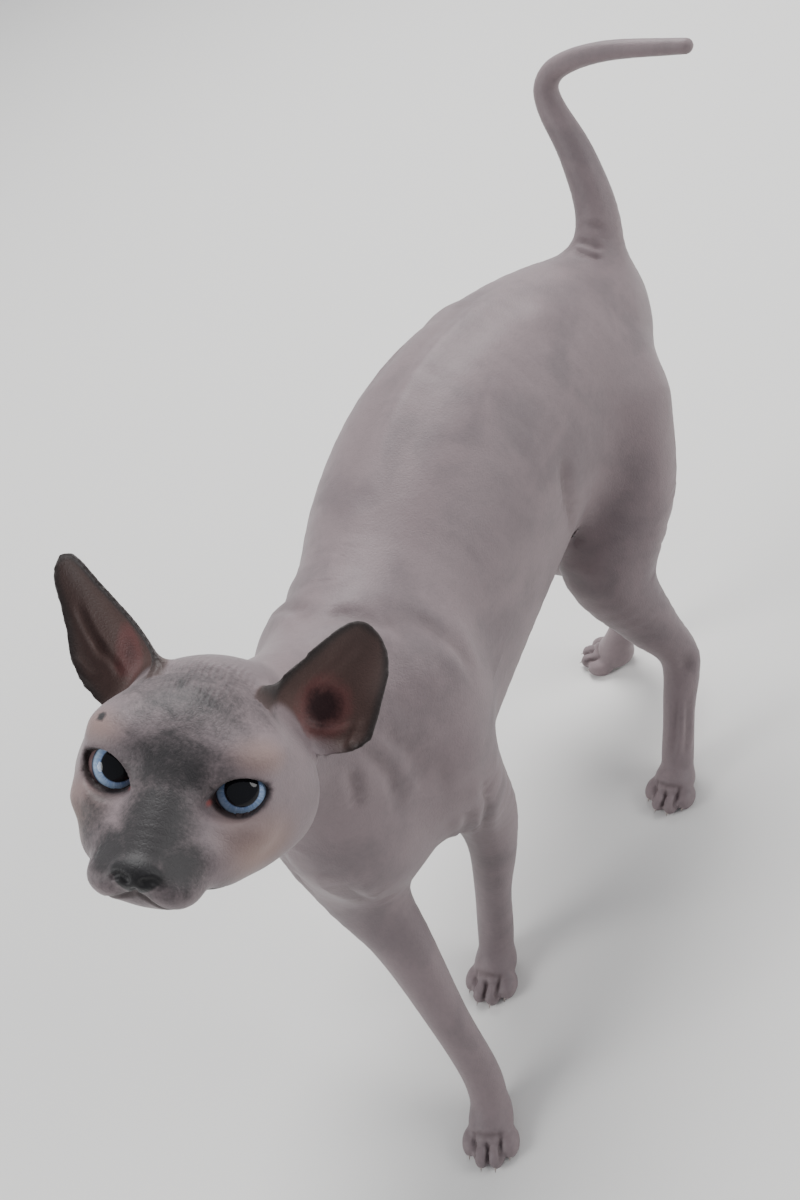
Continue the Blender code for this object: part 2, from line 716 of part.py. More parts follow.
def ear_object(side):
    """A thin cup, curled most at its root, with its root sunk in the skull."""
    sign = 1.0 if side == "left" else -1.0
    base = np.array(EAR_BASES[side]) * (sign, 1.0, 1.0)
    along = np.array(EAR_TIPS[side]) * (sign, 1.0, 1.0) - base
    facing = np.array(EAR_FACING[side]) * (sign, 1.0, 1.0)
    facing = facing - along * (facing @ along) / (along @ along)
    facing = facing / np.linalg.norm(facing)
    wide = np.cross(along, facing) / np.linalg.norm(along) * sign
    columns = np.linspace(0.0, 1.0, EAR_COLUMNS)
    shape = bmesh.new()
    skins = []
    for offset in (-EAR_THICKNESS / 2, EAR_THICKNESS / 2):
        grid = []
        for reach, radius, crown, cheek in zip(*ear_rows(side)):
            middle = base + along * reach + facing * radius * EAR_AXIS_SHARE
            ring = []
            for angle in columns * (crown + cheek) - crown:
                spoke = wide * math.sin(angle) - facing * math.cos(angle)
                ring.append(shape.verts.new(from_head(middle + spoke * (radius + offset))))
            grid.append(ring)
        skins.append(grid)
    inner, outer = skins
    for low in range(len(inner) - 1):
        for j in range(len(columns) - 1):
            shape.faces.new((inner[low][j], inner[low][j + 1], inner[low + 1][j + 1], inner[low + 1][j]))
            shape.faces.new((outer[low][j], outer[low + 1][j], outer[low + 1][j + 1], outer[low][j + 1]))
    rims = []
    for skin in skins:
        sides = [row[-1] for row in skin[1:-1]], [row[0] for row in skin[-2:0:-1]]
        rims.append(skin[0] + sides[0] + skin[-1][::-1] + sides[1])
    for i in range(len(rims[0])):
        j = (i + 1) % len(rims[0])
        shape.faces.new((rims[0][j], rims[0][i], rims[1][i], rims[1][j]))
    bmesh.ops.recalc_face_normals(shape, faces=shape.faces)
    bmesh.ops.triangulate(shape, faces=shape.faces)
    return new_object("ear_" + side, shape, EAR_SKIN)


def grown_copy(source, name):
    """A copy of an object's mesh grown outwards by the gap that parts keep."""
    shape = bmesh.new()
    shape.from_mesh(source.data)
    shape.normal_update()
    for vertex in shape.verts:
        vertex.co += vertex.normal * PART_GAP
    made = new_object(name, shape, SKIN)
    made.hide_render = True
    made.display_type = "WIRE"
    return made


def keep_largest(item, spec):
    """Drops every closed surface of an object but its largest."""
    name = item.name
    faces = max(loose_parts(item.data), key=len)
    item.name = name + "_whole"
    part_object(name, item, faces, spec)
    bpy.data.objects.remove(item, do_unlink=True)


def make_head():
    head = skin_of("head_skin", head_blocks() + path_blocks(NECK), HEAD_VOXEL, HEAD_TRIANGLES)
    for side in ("left", "right"):
        ear = ear_object(side)
        cut_away(ear, [grown_copy(head, "head_grown_" + side)])
        keep_largest(ear, EAR_SKIN)
    cutters = [head_cut()]
    for side, sign in (("left", 1.0), ("right", -1.0)):
        centre = from_head(eye_centre(sign))
        ball_object("eye_" + side, centre, EYE_RADIUS, IRIS)
        socket = ball_object("socket_" + side, centre, EYE_RADIUS + PART_GAP, SKIN)
        socket.hide_render = True
        socket.display_type = "WIRE"
        cutters += [socket, lid_opening("lids_" + side, sign)]
    cut_away(head, cutters)
    part_body(head, ["head"])


def main():
    clear_scene()
    body = skin_of("body_skin", all_blocks(), BODY_VOXEL, BODY_TRIANGLES)
    cut_away(body, body_cuts())
    part_body(body, [name for name in name_points() if name != "head"])
    make_head()
    for item in bpy.context.scene.objects:
        item.location = MODEL_SHIFT


main()
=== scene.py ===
"""A sphynx cat, life size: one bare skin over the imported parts, with eyes and claws of their own.

Metres, +Z up. The skin is one smooth field of named masses, tubes and balls blended where they meet, and
two curled sheets for the ears. Block shapes of the same masses are joined by a voxel remesh, their points are
slid onto the field, and the face, ears and paws are divided finer and slid again. Creases follow named
strokes, and the colours follow masks that are kept as attributes of the skin.
"""
import math

import bmesh
import bpy
import numpy as np
from mathutils import Matrix, Vector


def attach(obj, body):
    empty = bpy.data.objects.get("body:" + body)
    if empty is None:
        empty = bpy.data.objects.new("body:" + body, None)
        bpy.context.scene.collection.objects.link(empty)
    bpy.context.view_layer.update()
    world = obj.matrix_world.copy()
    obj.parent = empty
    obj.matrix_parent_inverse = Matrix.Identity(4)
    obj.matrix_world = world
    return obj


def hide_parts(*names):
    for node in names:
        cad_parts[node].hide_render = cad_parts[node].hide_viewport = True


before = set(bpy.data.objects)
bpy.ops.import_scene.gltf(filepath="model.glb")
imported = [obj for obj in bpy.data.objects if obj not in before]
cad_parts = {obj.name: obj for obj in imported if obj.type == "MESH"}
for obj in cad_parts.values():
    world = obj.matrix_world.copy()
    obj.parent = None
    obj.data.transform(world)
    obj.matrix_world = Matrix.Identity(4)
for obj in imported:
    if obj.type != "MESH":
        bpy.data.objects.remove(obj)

bl_info = {
    "name": "Sphynx Cat",
    "version": (1, 0, 0),
    "blender": (4, 5, 0),
    "location": "3D View > Sidebar > Sphynx Cat",
    "description": "Builds a life-size sphynx cat and a plain studio round it",
    "category": "Add Mesh",
}

# Driving dimensions in metres, the same as those of the solids.
MODEL_SHIFT = (0.0300, -0.0350, 0.0)
HEAD_PLACE = (-0.0129, -0.1512, 0.3086)
HEAD_TURN_DEG = 36.5
HEAD_NOD_DEG = -41.0
HEAD_TILT_DEG = 29.9
EYE_RADIUS = 0.0110
EYE_SPACING = 0.0452
EYE_BACK = 0.0095
IRIS_RADIUS = 0.0091
PUPIL_RADIUS = 0.0058
LID_THICKNESS = 0.0013
EYE_OPENING = (0.0120, 0.0066, 0.0080)
EYE_SLANT_DEG = 22.0
EYE_TURN_OUT_DEG = 8.0
BODY_VOXEL = 0.00135
WRINKLE_SCALE = 125.0
CORNEA_BULGE = 0.0009
CLAW_RADIUS = 0.0010
CLAW_LENGTH = 0.0046
CLAW_LEAN_DEG = 118.0
CLAW_AHEAD = 0.96
CLAW_LIFT = -0.0004
GAZE_TARGET = (0.2948, -0.3168, 0.6453)
EAR_THICKNESS = 0.0017
EAR_TIP_SHARE = 0.06
EAR_BLOCK_THICKNESS = 0.0034
EAR_AXIS_SHARE = 0.75
BODY_SHARE = 0.21
RIM_ROUNDS = 12
FAR_MARGIN = 0.05
HEAD_REACH = 0.13
EAR_REACH = 0.060

# The regions that keep or gain fine triangles.
HEAD_BACK = 0.062
HEAD_RADIUS = 0.100
PAW_HEIGHT = 0.026
NOSE_MIDDLE = (0.0, -0.022, -0.030)
NOSE_RADIUS = 0.020
EYE_REGION = 0.0165
RIM_DEPTH = 0.0035
RIM_WIDTH = 0.0036
RIM_TIP = 0.0040

# Each station is a centre x, y, z with a half width and a half height.
TRUNK = (
    (-0.017, 0.214, 0.229, 0.027, 0.029),
    (-0.024, 0.190, 0.226, 0.042, 0.046),
    (-0.035, 0.150, 0.225, 0.053, 0.059),
    (-0.044, 0.105, 0.221, 0.059, 0.067),
    (-0.046, 0.060, 0.211, 0.058, 0.069),
    (-0.042, 0.015, 0.199, 0.051, 0.067),
    (-0.037, -0.030, 0.188, 0.044, 0.063),
    (-0.033, -0.072, 0.176, 0.035, 0.050),
)
NECK = (
    (-0.036, -0.030, 0.212, 0.038, 0.044),
    (-0.035, -0.062, 0.230, 0.032, 0.037),
    (-0.035, -0.090, 0.252, 0.028, 0.031),
    (-0.031, -0.112, 0.273, 0.027, 0.029),
)
TAIL = (
    (-0.016, 0.205, 0.234, 0.022, 0.022),
    (-0.014, 0.222, 0.252, 0.0150, 0.0150),
    (-0.014, 0.235, 0.276, 0.0110, 0.0110),
    (-0.023, 0.246, 0.303, 0.0088, 0.0088),
    (-0.036, 0.256, 0.324, 0.0070, 0.0070),
    (-0.037, 0.260, 0.335, 0.0062, 0.0062),
    (-0.027, 0.262, 0.343, 0.0055, 0.0055),
    (0.000, 0.258, 0.350, 0.0047, 0.0047),
    (0.042, 0.252, 0.352, 0.0036, 0.0036),
)
FORELEG_LEFT = (
    (-0.018, -0.026, 0.212, 0.024, 0.028),
    (-0.007, -0.040, 0.172, 0.022, 0.026),
    (-0.006, -0.030, 0.128, 0.0165, 0.0185),
    (-0.008, -0.032, 0.095, 0.0115, 0.0130),
    (-0.016, -0.038, 0.058, 0.0090, 0.0098),
    (-0.021, -0.044, 0.028, 0.0092, 0.0098),
    (-0.022, -0.051, 0.012, 0.0100, 0.0090),
)
FORELEG_RIGHT = (
    (-0.058, -0.034, 0.212, 0.024, 0.028),
    (-0.062, -0.070, 0.172, 0.024, 0.028),
    (-0.047, -0.086, 0.134, 0.0200, 0.0215),
    (-0.027, -0.096, 0.100, 0.0140, 0.0150),
    (-0.007, -0.111, 0.060, 0.0100, 0.0105),
    (0.005, -0.120, 0.028, 0.0094, 0.0098),
    (0.010, -0.128, 0.012, 0.0100, 0.0090),
)
HINDLEG_LEFT = (
    (-0.005, 0.168, 0.205, 0.030, 0.040),
    (0.002, 0.148, 0.170, 0.026, 0.036),
    (0.003, 0.122, 0.132, 0.0200, 0.0260),
    (0.017, 0.121, 0.095, 0.0135, 0.0180),
    (0.031, 0.121, 0.068, 0.0092, 0.0115),
    (0.031, 0.106, 0.040, 0.0080, 0.0090),
    (0.031, 0.091, 0.016, 0.0090, 0.0090),
)
HINDLEG_RIGHT = (
    (-0.050, 0.172, 0.205, 0.030, 0.040),
    (-0.060, 0.154, 0.170, 0.026, 0.036),
    (-0.059, 0.142, 0.132, 0.0190, 0.0260),
    (-0.036, 0.160, 0.094, 0.0128, 0.0170),
    (-0.014, 0.174, 0.060, 0.0092, 0.0115),
    (-0.024, 0.170, 0.034, 0.0082, 0.0090),
    (-0.034, 0.163, 0.015, 0.0090, 0.0090),
)
# A paw is the middle of its pad, the way its toes point in degrees from -Y towards +X, and its length.
PAWS = {
    "front_left": ((-0.021, -0.063), 4.0, 0.030),
    "front_right": ((0.014, -0.141), 18.0, 0.031),
    "hind_left": ((0.031, 0.075), -4.0, 0.031),
    "hind_right": ((-0.043, 0.160), -75.0, 0.030),
}
TOE_SPREAD = (-0.0102, -0.0036, 0.0036, 0.0102)
TOE_REACH = (-0.001, 0.0045, 0.0045, -0.001)
TOE_HALF = (0.0042, 0.0075, 0.0052)
TOE_SINK = 0.0014
TOE_AHEAD = 0.12
PAD_HALF = (0.0112, 0.0125, 0.0082)
PAD_HEIGHT = 0.0072
PAD_BACK = 0.18

# How widely each mass runs into those before it.
NECK_BLEND = 0.030
FORELEG_BLEND = 0.020
HINDLEG_BLEND = 0.016
TAIL_BLEND = 0.014
HEAD_BLEND = 0.014
MUZZLE_BLEND = 0.012
EAR_BLEND = 0.007
LID_BLEND = 0.004
PAD_BLEND = 0.006
TOE_BLEND = 0.0022
GROOVE_EDGE = 0.0012
LID_EDGE = 0.0010

# Head masses in the head's own axes, x to the cat's left, y to the back of the skull, z to the crown.
# Each ball is its centre, its half sizes and how softly it blends into those before it.
HEAD_BALLS = (
    ((0.0, 0.038, 0.010), (0.034, 0.040, 0.030), 0.001),
    ((0.0, 0.014, 0.009), (0.027, 0.018, 0.018), 0.012),
    ((0.0, 0.030, -0.018), (0.026, 0.030, 0.018), 0.012),
    ((0.0305, 0.0330, -0.0060), (0.0160, 0.0200, 0.0200), 0.012),
)
HEAD_PAIRS = (
    ((0.020, 0.012, 0.012), (0.015, 0.013, 0.010), 0.012),
    ((0.0245, 0.0160, -0.0060), (0.0128, 0.0190, 0.0130), 0.012),
    ((0.0260, 0.0320, -0.0060), (0.0150, 0.0200, 0.0190), 0.012),
    ((0.0190, 0.0220, -0.0225), (0.0135, 0.0220, 0.0125), 0.012),
    ((0.0150, 0.0010, -0.0225), (0.0125, 0.0160, 0.0115), 0.012),
    ((0.0185, 0.0050, 0.0115), (0.0125, 0.0080, 0.0050), 0.008),
    ((0.0255, 0.0050, -0.0120), (0.0095, 0.0085, 0.0050), 0.008),
)
MUZZLE = (
    (0.0, 0.012, 0.004, 0.019, 0.013),
    (0.0, -0.004, -0.009, 0.0125, 0.0115),
    (0.0, -0.0170, -0.0225, 0.0112, 0.0095),
)
MUZZLE_PAIRS = (
    ((0.0092, -0.0160, -0.0303), (0.0108, 0.0120, 0.0080), 0.006),
)
MUZZLE_BALLS = (
    ((0.0010, -0.0095, -0.0348), (0.0120, 0.0115, 0.0060), 0.004),
    ((-0.0005, -0.0272, -0.0258), (0.0086, 0.0046, 0.0050), 0.004),
)
# The line of the mouth, from under the nose round to one corner, and the slit of a nostril. Each is laid on
# the surface before it is cut.
MOUTH = (
    (0.0, -0.0320, -0.0325, 0.0009, 0.0009),
    (0.0004, -0.0290, -0.0355, 0.0010, 0.0010),
    (0.0060, -0.0260, -0.0378, 0.0011, 0.0011),
    (0.0130, -0.0190, -0.0378, 0.0011, 0.0011),
    (0.0190, -0.0080, -0.0355, 0.0010, 0.0010),
    (0.0235, 0.0040, -0.0320, 0.0007, 0.0007),
)
NOSTRIL = (
    (0.0034, -0.0325, -0.0272, 0.0014, 0.0014),
    (0.0056, -0.0305, -0.0262, 0.0012, 0.0012),
    (0.0074, -0.0280, -0.0275, 0.0007, 0.0007),
)
# Ears: root, tip and the way each opens, then rows from root to tip of the radius of its curl and of how far,
# in degrees, the sheet goes round towards the crown and towards the cheek.
EAR_BASES = {"left": (0.034, 0.037, 0.017), "right": (0.024, 0.040, 0.017)}
EAR_TIPS = {"left": (0.0545, 0.041, 0.0622), "right": (0.0675, 0.040, 0.0665)}
EAR_FACING = {"left": (0.35, -1.0, 0.0), "right": (0.40, -1.0, 0.0)}
EAR_ROWS = {
    "left": (
        (0.0170, 92.0, 20.0),
        (0.0185, 74.0, 58.0),
        (0.0235, 48.0, 67.0),
        (0.0235, 41.0, 62.0),
        (0.0215, 36.0, 57.0),
        (0.0205, 33.0, 51.0),
        (0.0195, 32.0, 48.0),
    ),
    "right": (
        (0.0170, 92.0, 32.0),
        (0.0190, 84.0, 50.0),
        (0.0210, 70.0, 55.0),
        (0.0200, 56.0, 57.0),
        (0.0165, 50.0, 50.0),
        (0.0130, 44.0, 44.0),
        (0.0110, 40.0, 40.0),
    ),
}
EAR_ROUNDING = {"left": 0.36, "right": 0.18}
EAR_START = -0.14

# Folds of loose skin: depth, half width and whether the far side has one too, then the places that the line
# runs through. A fold with a negative depth is a ridge.
FOLDS = {
    "shoulder_behind": (0.0018, 0.0038, True,
                        ((-0.0382, -0.0464, 0.266), (-0.0289, -0.0355, 0.264), (-0.0187, -0.0319, 0.260),
                         (-0.0072, -0.0282, 0.252), (0.0026, -0.0252, 0.242))),
    "shoulder_edge": (0.0015, 0.0042, True,
                      ((-0.0273, -0.0271, 0.263), (-0.0133, -0.0231, 0.257), (-0.0017, -0.0189, 0.247),
                       (0.0080, -0.0167, 0.234), (0.0135, -0.0179, 0.222), (0.0164, -0.0224, 0.209))),
    "neck_front": (0.0016, 0.0030, True,
                   ((-0.0054, -0.0869, 0.234), (-0.0059, -0.0896, 0.222), (-0.0060, -0.0934, 0.209))),
    "neck_side": (0.0014, 0.0036, True,
                  ((-0.0060, -0.0800, 0.246), (0.0006, -0.0758, 0.220), (0.0016, -0.0770, 0.205),
                   (0.0018, -0.0791, 0.190))),
    "neck_low": (0.0013, 0.0036, True,
                 ((-0.0040, -0.0690, 0.244), (0.0035, -0.0650, 0.222), (0.0064, -0.0642, 0.205),
                  (0.0072, -0.0664, 0.189))),
    "neck_shoulder": (0.0010, 0.0036, True,
                      ((0.0019, -0.0606, 0.233), (0.0072, -0.0584, 0.214), (0.0105, -0.0587, 0.196),
                       (0.0101, -0.0621, 0.178))),
    "armpit_front": (0.0016, 0.0030, True,
                     ((0.0150, -0.0560, 0.168), (0.0050, -0.0540, 0.148), (-0.0060, -0.0480, 0.120))),
    "armpit_back": (0.0018, 0.0030, True,
                    ((0.0192, -0.0437, 0.182), (0.0184, -0.0461, 0.166), (0.0100, -0.0475, 0.141),
                     (-0.0040, -0.0440, 0.112))),
    "chest": (0.0016, 0.0034, True,
              ((-0.0252, -0.1137, 0.189), (-0.0198, -0.1119, 0.171), (-0.0230, -0.1008, 0.139))),
    "flank": (0.0024, 0.0050, True,
              ((0.0126, 0.0990, 0.239), (0.0143, 0.0945, 0.214), (0.0064, 0.0952, 0.184))),
    "groin": (0.0014, 0.0026, True,
              ((0.0024, 0.1159, 0.172), (-0.0027, 0.1123, 0.166), (-0.0065, 0.1108, 0.159))),
    "tail_low": (0.0014, 0.0019, False,
                 ((-0.0227, 0.2195, 0.269), (-0.0116, 0.2160, 0.270), (-0.0048, 0.2160, 0.266))),
    "tail_middle": (0.0014, 0.0019, False,
                    ((-0.0216, 0.2138, 0.268), (-0.0112, 0.2111, 0.268), (-0.0023, 0.2107, 0.263))),
    "tail_high": (0.0010, 0.0019, False,
                  ((-0.0200, 0.2260, 0.274), (-0.0120, 0.2240, 0.276), (-0.0060, 0.2240, 0.273))),
    "heel_hollow": (0.0014, 0.0042, False,
                    ((0.0381, 0.1162, 0.0780), (0.0385, 0.1145, 0.0708), (0.0386, 0.1119, 0.0635))),
    "foot_front": (0.0011, 0.0018, False,
                   ((0.0334, 0.1062, 0.0560), (0.0324, 0.0985, 0.0429), (0.0318, 0.0901, 0.0305),
                    (0.0307, 0.0825, 0.0196))),
    "foot_side": (0.0010, 0.0017, False,
                  ((0.0384, 0.1080, 0.0550), (0.0382, 0.1011, 0.0412), (0.0381, 0.0930, 0.0287),
                   (0.0382, 0.0845, 0.0200))),
    "spine": (-0.0016, 0.0060, False,
              ((-0.0400, -0.0100, 0.262), (-0.0440, 0.0300, 0.270), (-0.0460, 0.0700, 0.282),
               (-0.0430, 0.1100, 0.289), (-0.0350, 0.1500, 0.285), (-0.0250, 0.1850, 0.274))),
}
# Swells and hollows of muscle and bone: centre, radius and height, on both sides of the body.
SWELLS = (
    ((0.0000, -0.0360, 0.2400), 0.030, 0.0018),
    ((0.0176, -0.0437, 0.1944), 0.018, 0.0020),
    ((0.0120, 0.0020, 0.2150), 0.024, -0.0014),
    ((0.0120, 0.0960, 0.2150), 0.028, -0.0022),
    ((-0.0078, 0.1517, 0.2757), 0.015, 0.0016),
    ((0.0275, 0.1500, 0.2120), 0.036, 0.0014),
    ((0.0060, 0.1850, 0.2500), 0.020, -0.0012),
)
BODY_MIDDLE = -0.037
TAIL_FOLDS = (-0.0125, 0.2165, 0.2690)
TAIL_FOLDS_REACH = 0.017
BANK_SHARE = 0.4
BANK_PLACE = 1.8
FOLD_ENDS = 0.3
# How far a fold must be pressed in for its painted shade to be full, and the share of the folds' depth that
# is painted as shade.
CREASE_DEPTH = 0.0016
FOLD_SHADE = 0.30

# Ridges in the cups of the ears, in the head's own axes: depth, half width and places.
EAR_FOLDS = (
    (-0.0010, 0.0017, ((0.0344, 0.0391, 0.0232), (0.0410, 0.0422, 0.0198), (0.0495, 0.0424, 0.0215),
                       (0.0551, 0.0422, 0.0268))),
    (-0.0011, 0.0015, ((0.0572, 0.0416, 0.0285), (0.0553, 0.0400, 0.0207), (0.0538, 0.0363, 0.0150))),
    (-0.0009, 0.0018, ((0.0351, 0.0416, 0.0299), (0.0380, 0.0422, 0.0369), (0.0450, 0.0436, 0.0457),
                       (0.0521, 0.0449, 0.0546))),
    (-0.0010, 0.0016, ((-0.0592, 0.0431, 0.0511), (-0.0546, 0.0437, 0.0433), (-0.0492, 0.0445, 0.0354),
                       (-0.0432, 0.0448, 0.0275))),
    (-0.0009, 0.0015, ((-0.0517, 0.0441, 0.0392), (-0.0466, 0.0447, 0.0335), (-0.0404, 0.0450, 0.0292),
                       (-0.0360, 0.0449, 0.0242))),
    (-0.0009, 0.0015, ((-0.0552, 0.0414, 0.0303), (-0.0505, 0.0425, 0.0260), (-0.0443, 0.0436, 0.0220))),
)
# Creases of a paw in its own axes, across, back and up from the middle of its toes: depth, half width and
# places. The first is pressed between each two toes, the second lies across their roots.
TOE_CREASE = (0.0012, 0.0011, ((0.0, -0.0080, -0.0010), (0.0, -0.0055, 0.0035), (0.0, -0.0005, 0.0060),
                               (0.0, 0.0060, 0.0085)))
TOE_ROOTS = (0.0008, 0.0016, ((-0.0120, 0.0075, 0.0050), (-0.0060, 0.0050, 0.0085), (0.0, 0.0042, 0.0095),
                              (0.0060, 0.0050, 0.0085), (0.0120, 0.0075, 0.0050)))

# Coloured or wrinkled patches of the face: the side it is on, 1 the cat's left, -1 its right and 0 both, then
# centre, half sizes, where it starts to fade and where it ends as shares of those, and its strength.
FACE_PATCHES = {
    "dark_face": (
        (0, (0.0, -0.0180, -0.0120), (0.0155, 0.0310, 0.0240), 0.0, 1.45, 0.95),
        (0, (0.0, -0.0020, 0.0060), (0.0225, 0.0250, 0.0180), 0.0, 1.45, 0.80),
        (0, (0.0, 0.0100, 0.0260), (0.0330, 0.0340, 0.0280), 0.0, 1.25, 0.55),
        (0, (0.0110, -0.0200, -0.0230), (0.0135, 0.0180, 0.0125), 0.10, 1.30, 0.80),
        (0, (0.0210, 0.0160, 0.0280), (0.0150, 0.0200, 0.0160), 0.10, 1.25, 0.35),
        (-1, (0.0235, -0.0085, -0.0170), (0.0130, 0.0180, 0.0150), 0.0, 1.30, 0.55),
        (-1, (0.0293, 0.0012, 0.0178), (0.0022, 0.0030, 0.0016), 0.20, 1.20, 1.0),
    ),
    "warm": (
        (0, (0.0270, 0.0100, -0.0160), (0.0200, 0.0240, 0.0180), 0.20, 1.10, 1.0),
        (0, (0.0260, 0.0040, 0.0140), (0.0140, 0.0140, 0.0080), 0.20, 1.10, 0.7),
    ),
    "forehead": (
        (0, (0.0, 0.0220, 0.0340), (0.0260, 0.0220, 0.0190), 0.20, 1.10, 0.9),
    ),
    "muzzle_lines": (
        (-1, (0.0170, -0.0120, -0.0250), (0.0100, 0.0120, 0.0110), 0.30, 1.10, 1.0),
    ),
}
# Deepest place of each ear's cup, its half sizes and how strong the painted shade there is, in the head's own
# axes.
EAR_CUP_SHADE = {
    "left": ((0.0418, 0.0435, 0.0285), (0.0110, 0.0140, 0.0135), 1.0),
    "right": ((-0.0345, 0.0427, 0.0360), (0.0065, 0.0120, 0.0130), 0.25),
}
TEAR_PLACE = (0.0125, -0.0010, -0.0045)
TEAR_HALF = (0.0030, 0.0040, 0.0024)
NOSE_PLACE = (-0.0002, -0.0295, -0.0262)
NOSE_HALF = (0.0104, 0.0078, 0.0062)

# Colours of the eye that are not in the panel.
IRIS_THREADS = (0.62, 0.74, 0.88, 1.0)
IRIS_EDGE = (0.035, 0.040, 0.060, 1.0)
EYE_WHITE = (0.16, 0.10, 0.10, 1.0)
PUPIL_COLOUR = (0.004, 0.004, 0.006, 1.0)

CAMERA_PLACE = (0.3248, -0.3518, 0.6453)
CAMERA_TURN_DEG = (44.79, 18.50, 27.63)
CAMERA_LENS_MM = 41.0
CAMERA_SENSOR_MM = 36.0

# Studio: each lamp's place, size and share of the main one's power, all aimed at one place.
LAMPS = {
    "main_lamp": ((-0.5, 1.2, 1.9), 1.2, 1.0),
    "side_lamp": ((1.9, 0.9, 1.2), 1.4, 0.5),
    "face_lamp": ((-1.3, -1.5, 1.3), 1.2, 0.5),
}
LAMP_TARGET = (0.0, 0.0, 0.2)
LAMP_POWER = 58.0
FLOOR_SIZE = 6.0
SURROUND_COLOUR = (0.80, 0.84, 0.90, 1.0)
SURROUND_STRENGTH = 0.42


def head_axes():
    """The turn that carries the head's own axes into the cat's."""
    turn = Matrix.Rotation(math.radians(HEAD_TURN_DEG), 3, "Z")
    nod = Matrix.Rotation(math.radians(HEAD_NOD_DEG), 3, "X")
    tilt = Matrix.Rotation(math.radians(HEAD_TILT_DEG), 3, "Y")
    return np.array(turn @ nod @ tilt)


def from_head(points):
    return np.asarray(points, float) @ head_axes().T + np.array(HEAD_PLACE)


def to_head(points):
    return (np.asarray(points, float) - np.array(HEAD_PLACE)) @ head_axes()


def smooth_path(stations, steps=5):
    """Stations filled in along a smooth curve through them."""
    given = np.array(stations, float)
    padded = np.vstack((2 * given[0] - given[1], given, 2 * given[-1] - given[-2]))
    rows = []
    for i in range(len(given) - 1):
        before, start, end, after = padded[i : i + 4]
        for step in range(steps):
            t = step / steps
            rows.append(
                0.5 * (2 * start + (end - before) * t
                       + (2 * before - 5 * start + 4 * end - after) * t * t
                       + (3 * start - before - 3 * end + after) * t ** 3)
            )
    rows.append(given[-1])
    return np.array(rows)


def tube_distance(points, path, top=(0.0, 0.0, 1.0)):
    """Distance to a tube of elliptical section, with round ends."""
    reach = path[:, 3:].max() + FAR_MARGIN
    low, high = path[:, :3].min(axis=0) - reach, path[:, :3].max(axis=0) + reach
    near = ((points > low) & (points < high)).all(axis=1)
    whole = np.full(len(points), FAR_MARGIN)
    points = points[near]
    best = np.full(len(points), FAR_MARGIN)
    for start, end in zip(path[:-1], path[1:]):
        axis = end[:3] - start[:3]
        length = np.linalg.norm(axis)
        axis = axis / length
        side = np.cross(top, axis)
        side = side / np.linalg.norm(side)
        upper = np.cross(axis, side)
        offset = points - start[:3]
        along = np.clip(offset @ axis / length, 0.0, 1.0)
        half = start[3:] + np.outer(along, end[3:] - start[3:])
        offset = offset - np.outer(along * length, axis)
        wide, tall, over = offset @ side, offset @ upper, offset @ axis
        mean = half.mean(axis=1)
        inside = np.sqrt((wide / half[:, 0]) ** 2 + (tall / half[:, 1]) ** 2 + (over / mean) ** 2)
        slope = np.sqrt(
            (wide / half[:, 0] ** 2) ** 2 + (tall / half[:, 1] ** 2) ** 2 + (over / mean ** 2) ** 2
        )
        best = np.minimum(best, inside * (inside - 1.0) / np.maximum(slope, 1e-9))
    whole[near] = best
    return whole


def ball_distance(points, centre, half, turn=None):
    """Distance to an ellipsoid."""
    near = (np.abs(points - np.array(centre)) < max(half) + FAR_MARGIN).all(axis=1)
    whole = np.full(len(points), FAR_MARGIN)
    offset = points[near] - np.array(centre)
    if turn is not None:
        offset = offset @ turn
    inside = np.linalg.norm(offset / np.array(half), axis=1)
    slope = np.linalg.norm(offset / np.array(half) ** 2, axis=1)
    whole[near] = inside * (inside - 1.0) / np.maximum(slope, 1e-9)
    return whole


def blend(first, second, width):
    """Union of two distances with a fillet about this wide."""
    near = np.maximum(width - np.abs(first - second), 0.0) / width
    return np.minimum(first, second) - near * near * width * 0.25


def carve(solid, cutter, width):
    """A cutter's distance taken out of a solid's, with a rounded edge."""
    return -blend(-solid, cutter, width)


def toe_balls(paw):
    """Centre, half sizes and turn of each toe of a paw, with the pad behind them last."""
    (x, y), turn_deg, length = PAWS[paw]
    angle = math.radians(turn_deg)
    ahead = np.array((math.sin(angle), -math.cos(angle), 0.0))
    across = np.array((math.cos(angle), math.sin(angle), 0.0))
    turn = np.column_stack((across, -ahead, (0.0, 0.0, 1.0)))
    found = []
    for spread, reach in zip(TOE_SPREAD, TOE_REACH):
        middle = np.array((x, y, TOE_HALF[2] - TOE_SINK))
        centre = middle + across * spread + ahead * (reach + length * TOE_AHEAD)
        found.append((centre, TOE_HALF, turn))
    pad = np.array((x, y, PAD_HEIGHT)) - ahead * length * PAD_BACK
    found.append((pad, PAD_HALF, turn))
    return found


def eye_axes(sign):
    """Across, out and up for one eye, in the head's own axes."""
    turn = math.radians(EYE_TURN_OUT_DEG) * sign
    out = np.array((math.sin(turn), -math.cos(turn), 0.0))
    across = np.array((math.cos(turn), math.sin(turn), 0.0))
    return across, out, np.array((0.0, 0.0, 1.0))


def eye_centre(sign):
    return np.array((sign * EYE_SPACING / 2, EYE_BACK, 0.0))


def mirrored(centre, sign):
    return (centre[0] * sign, centre[1], centre[2])


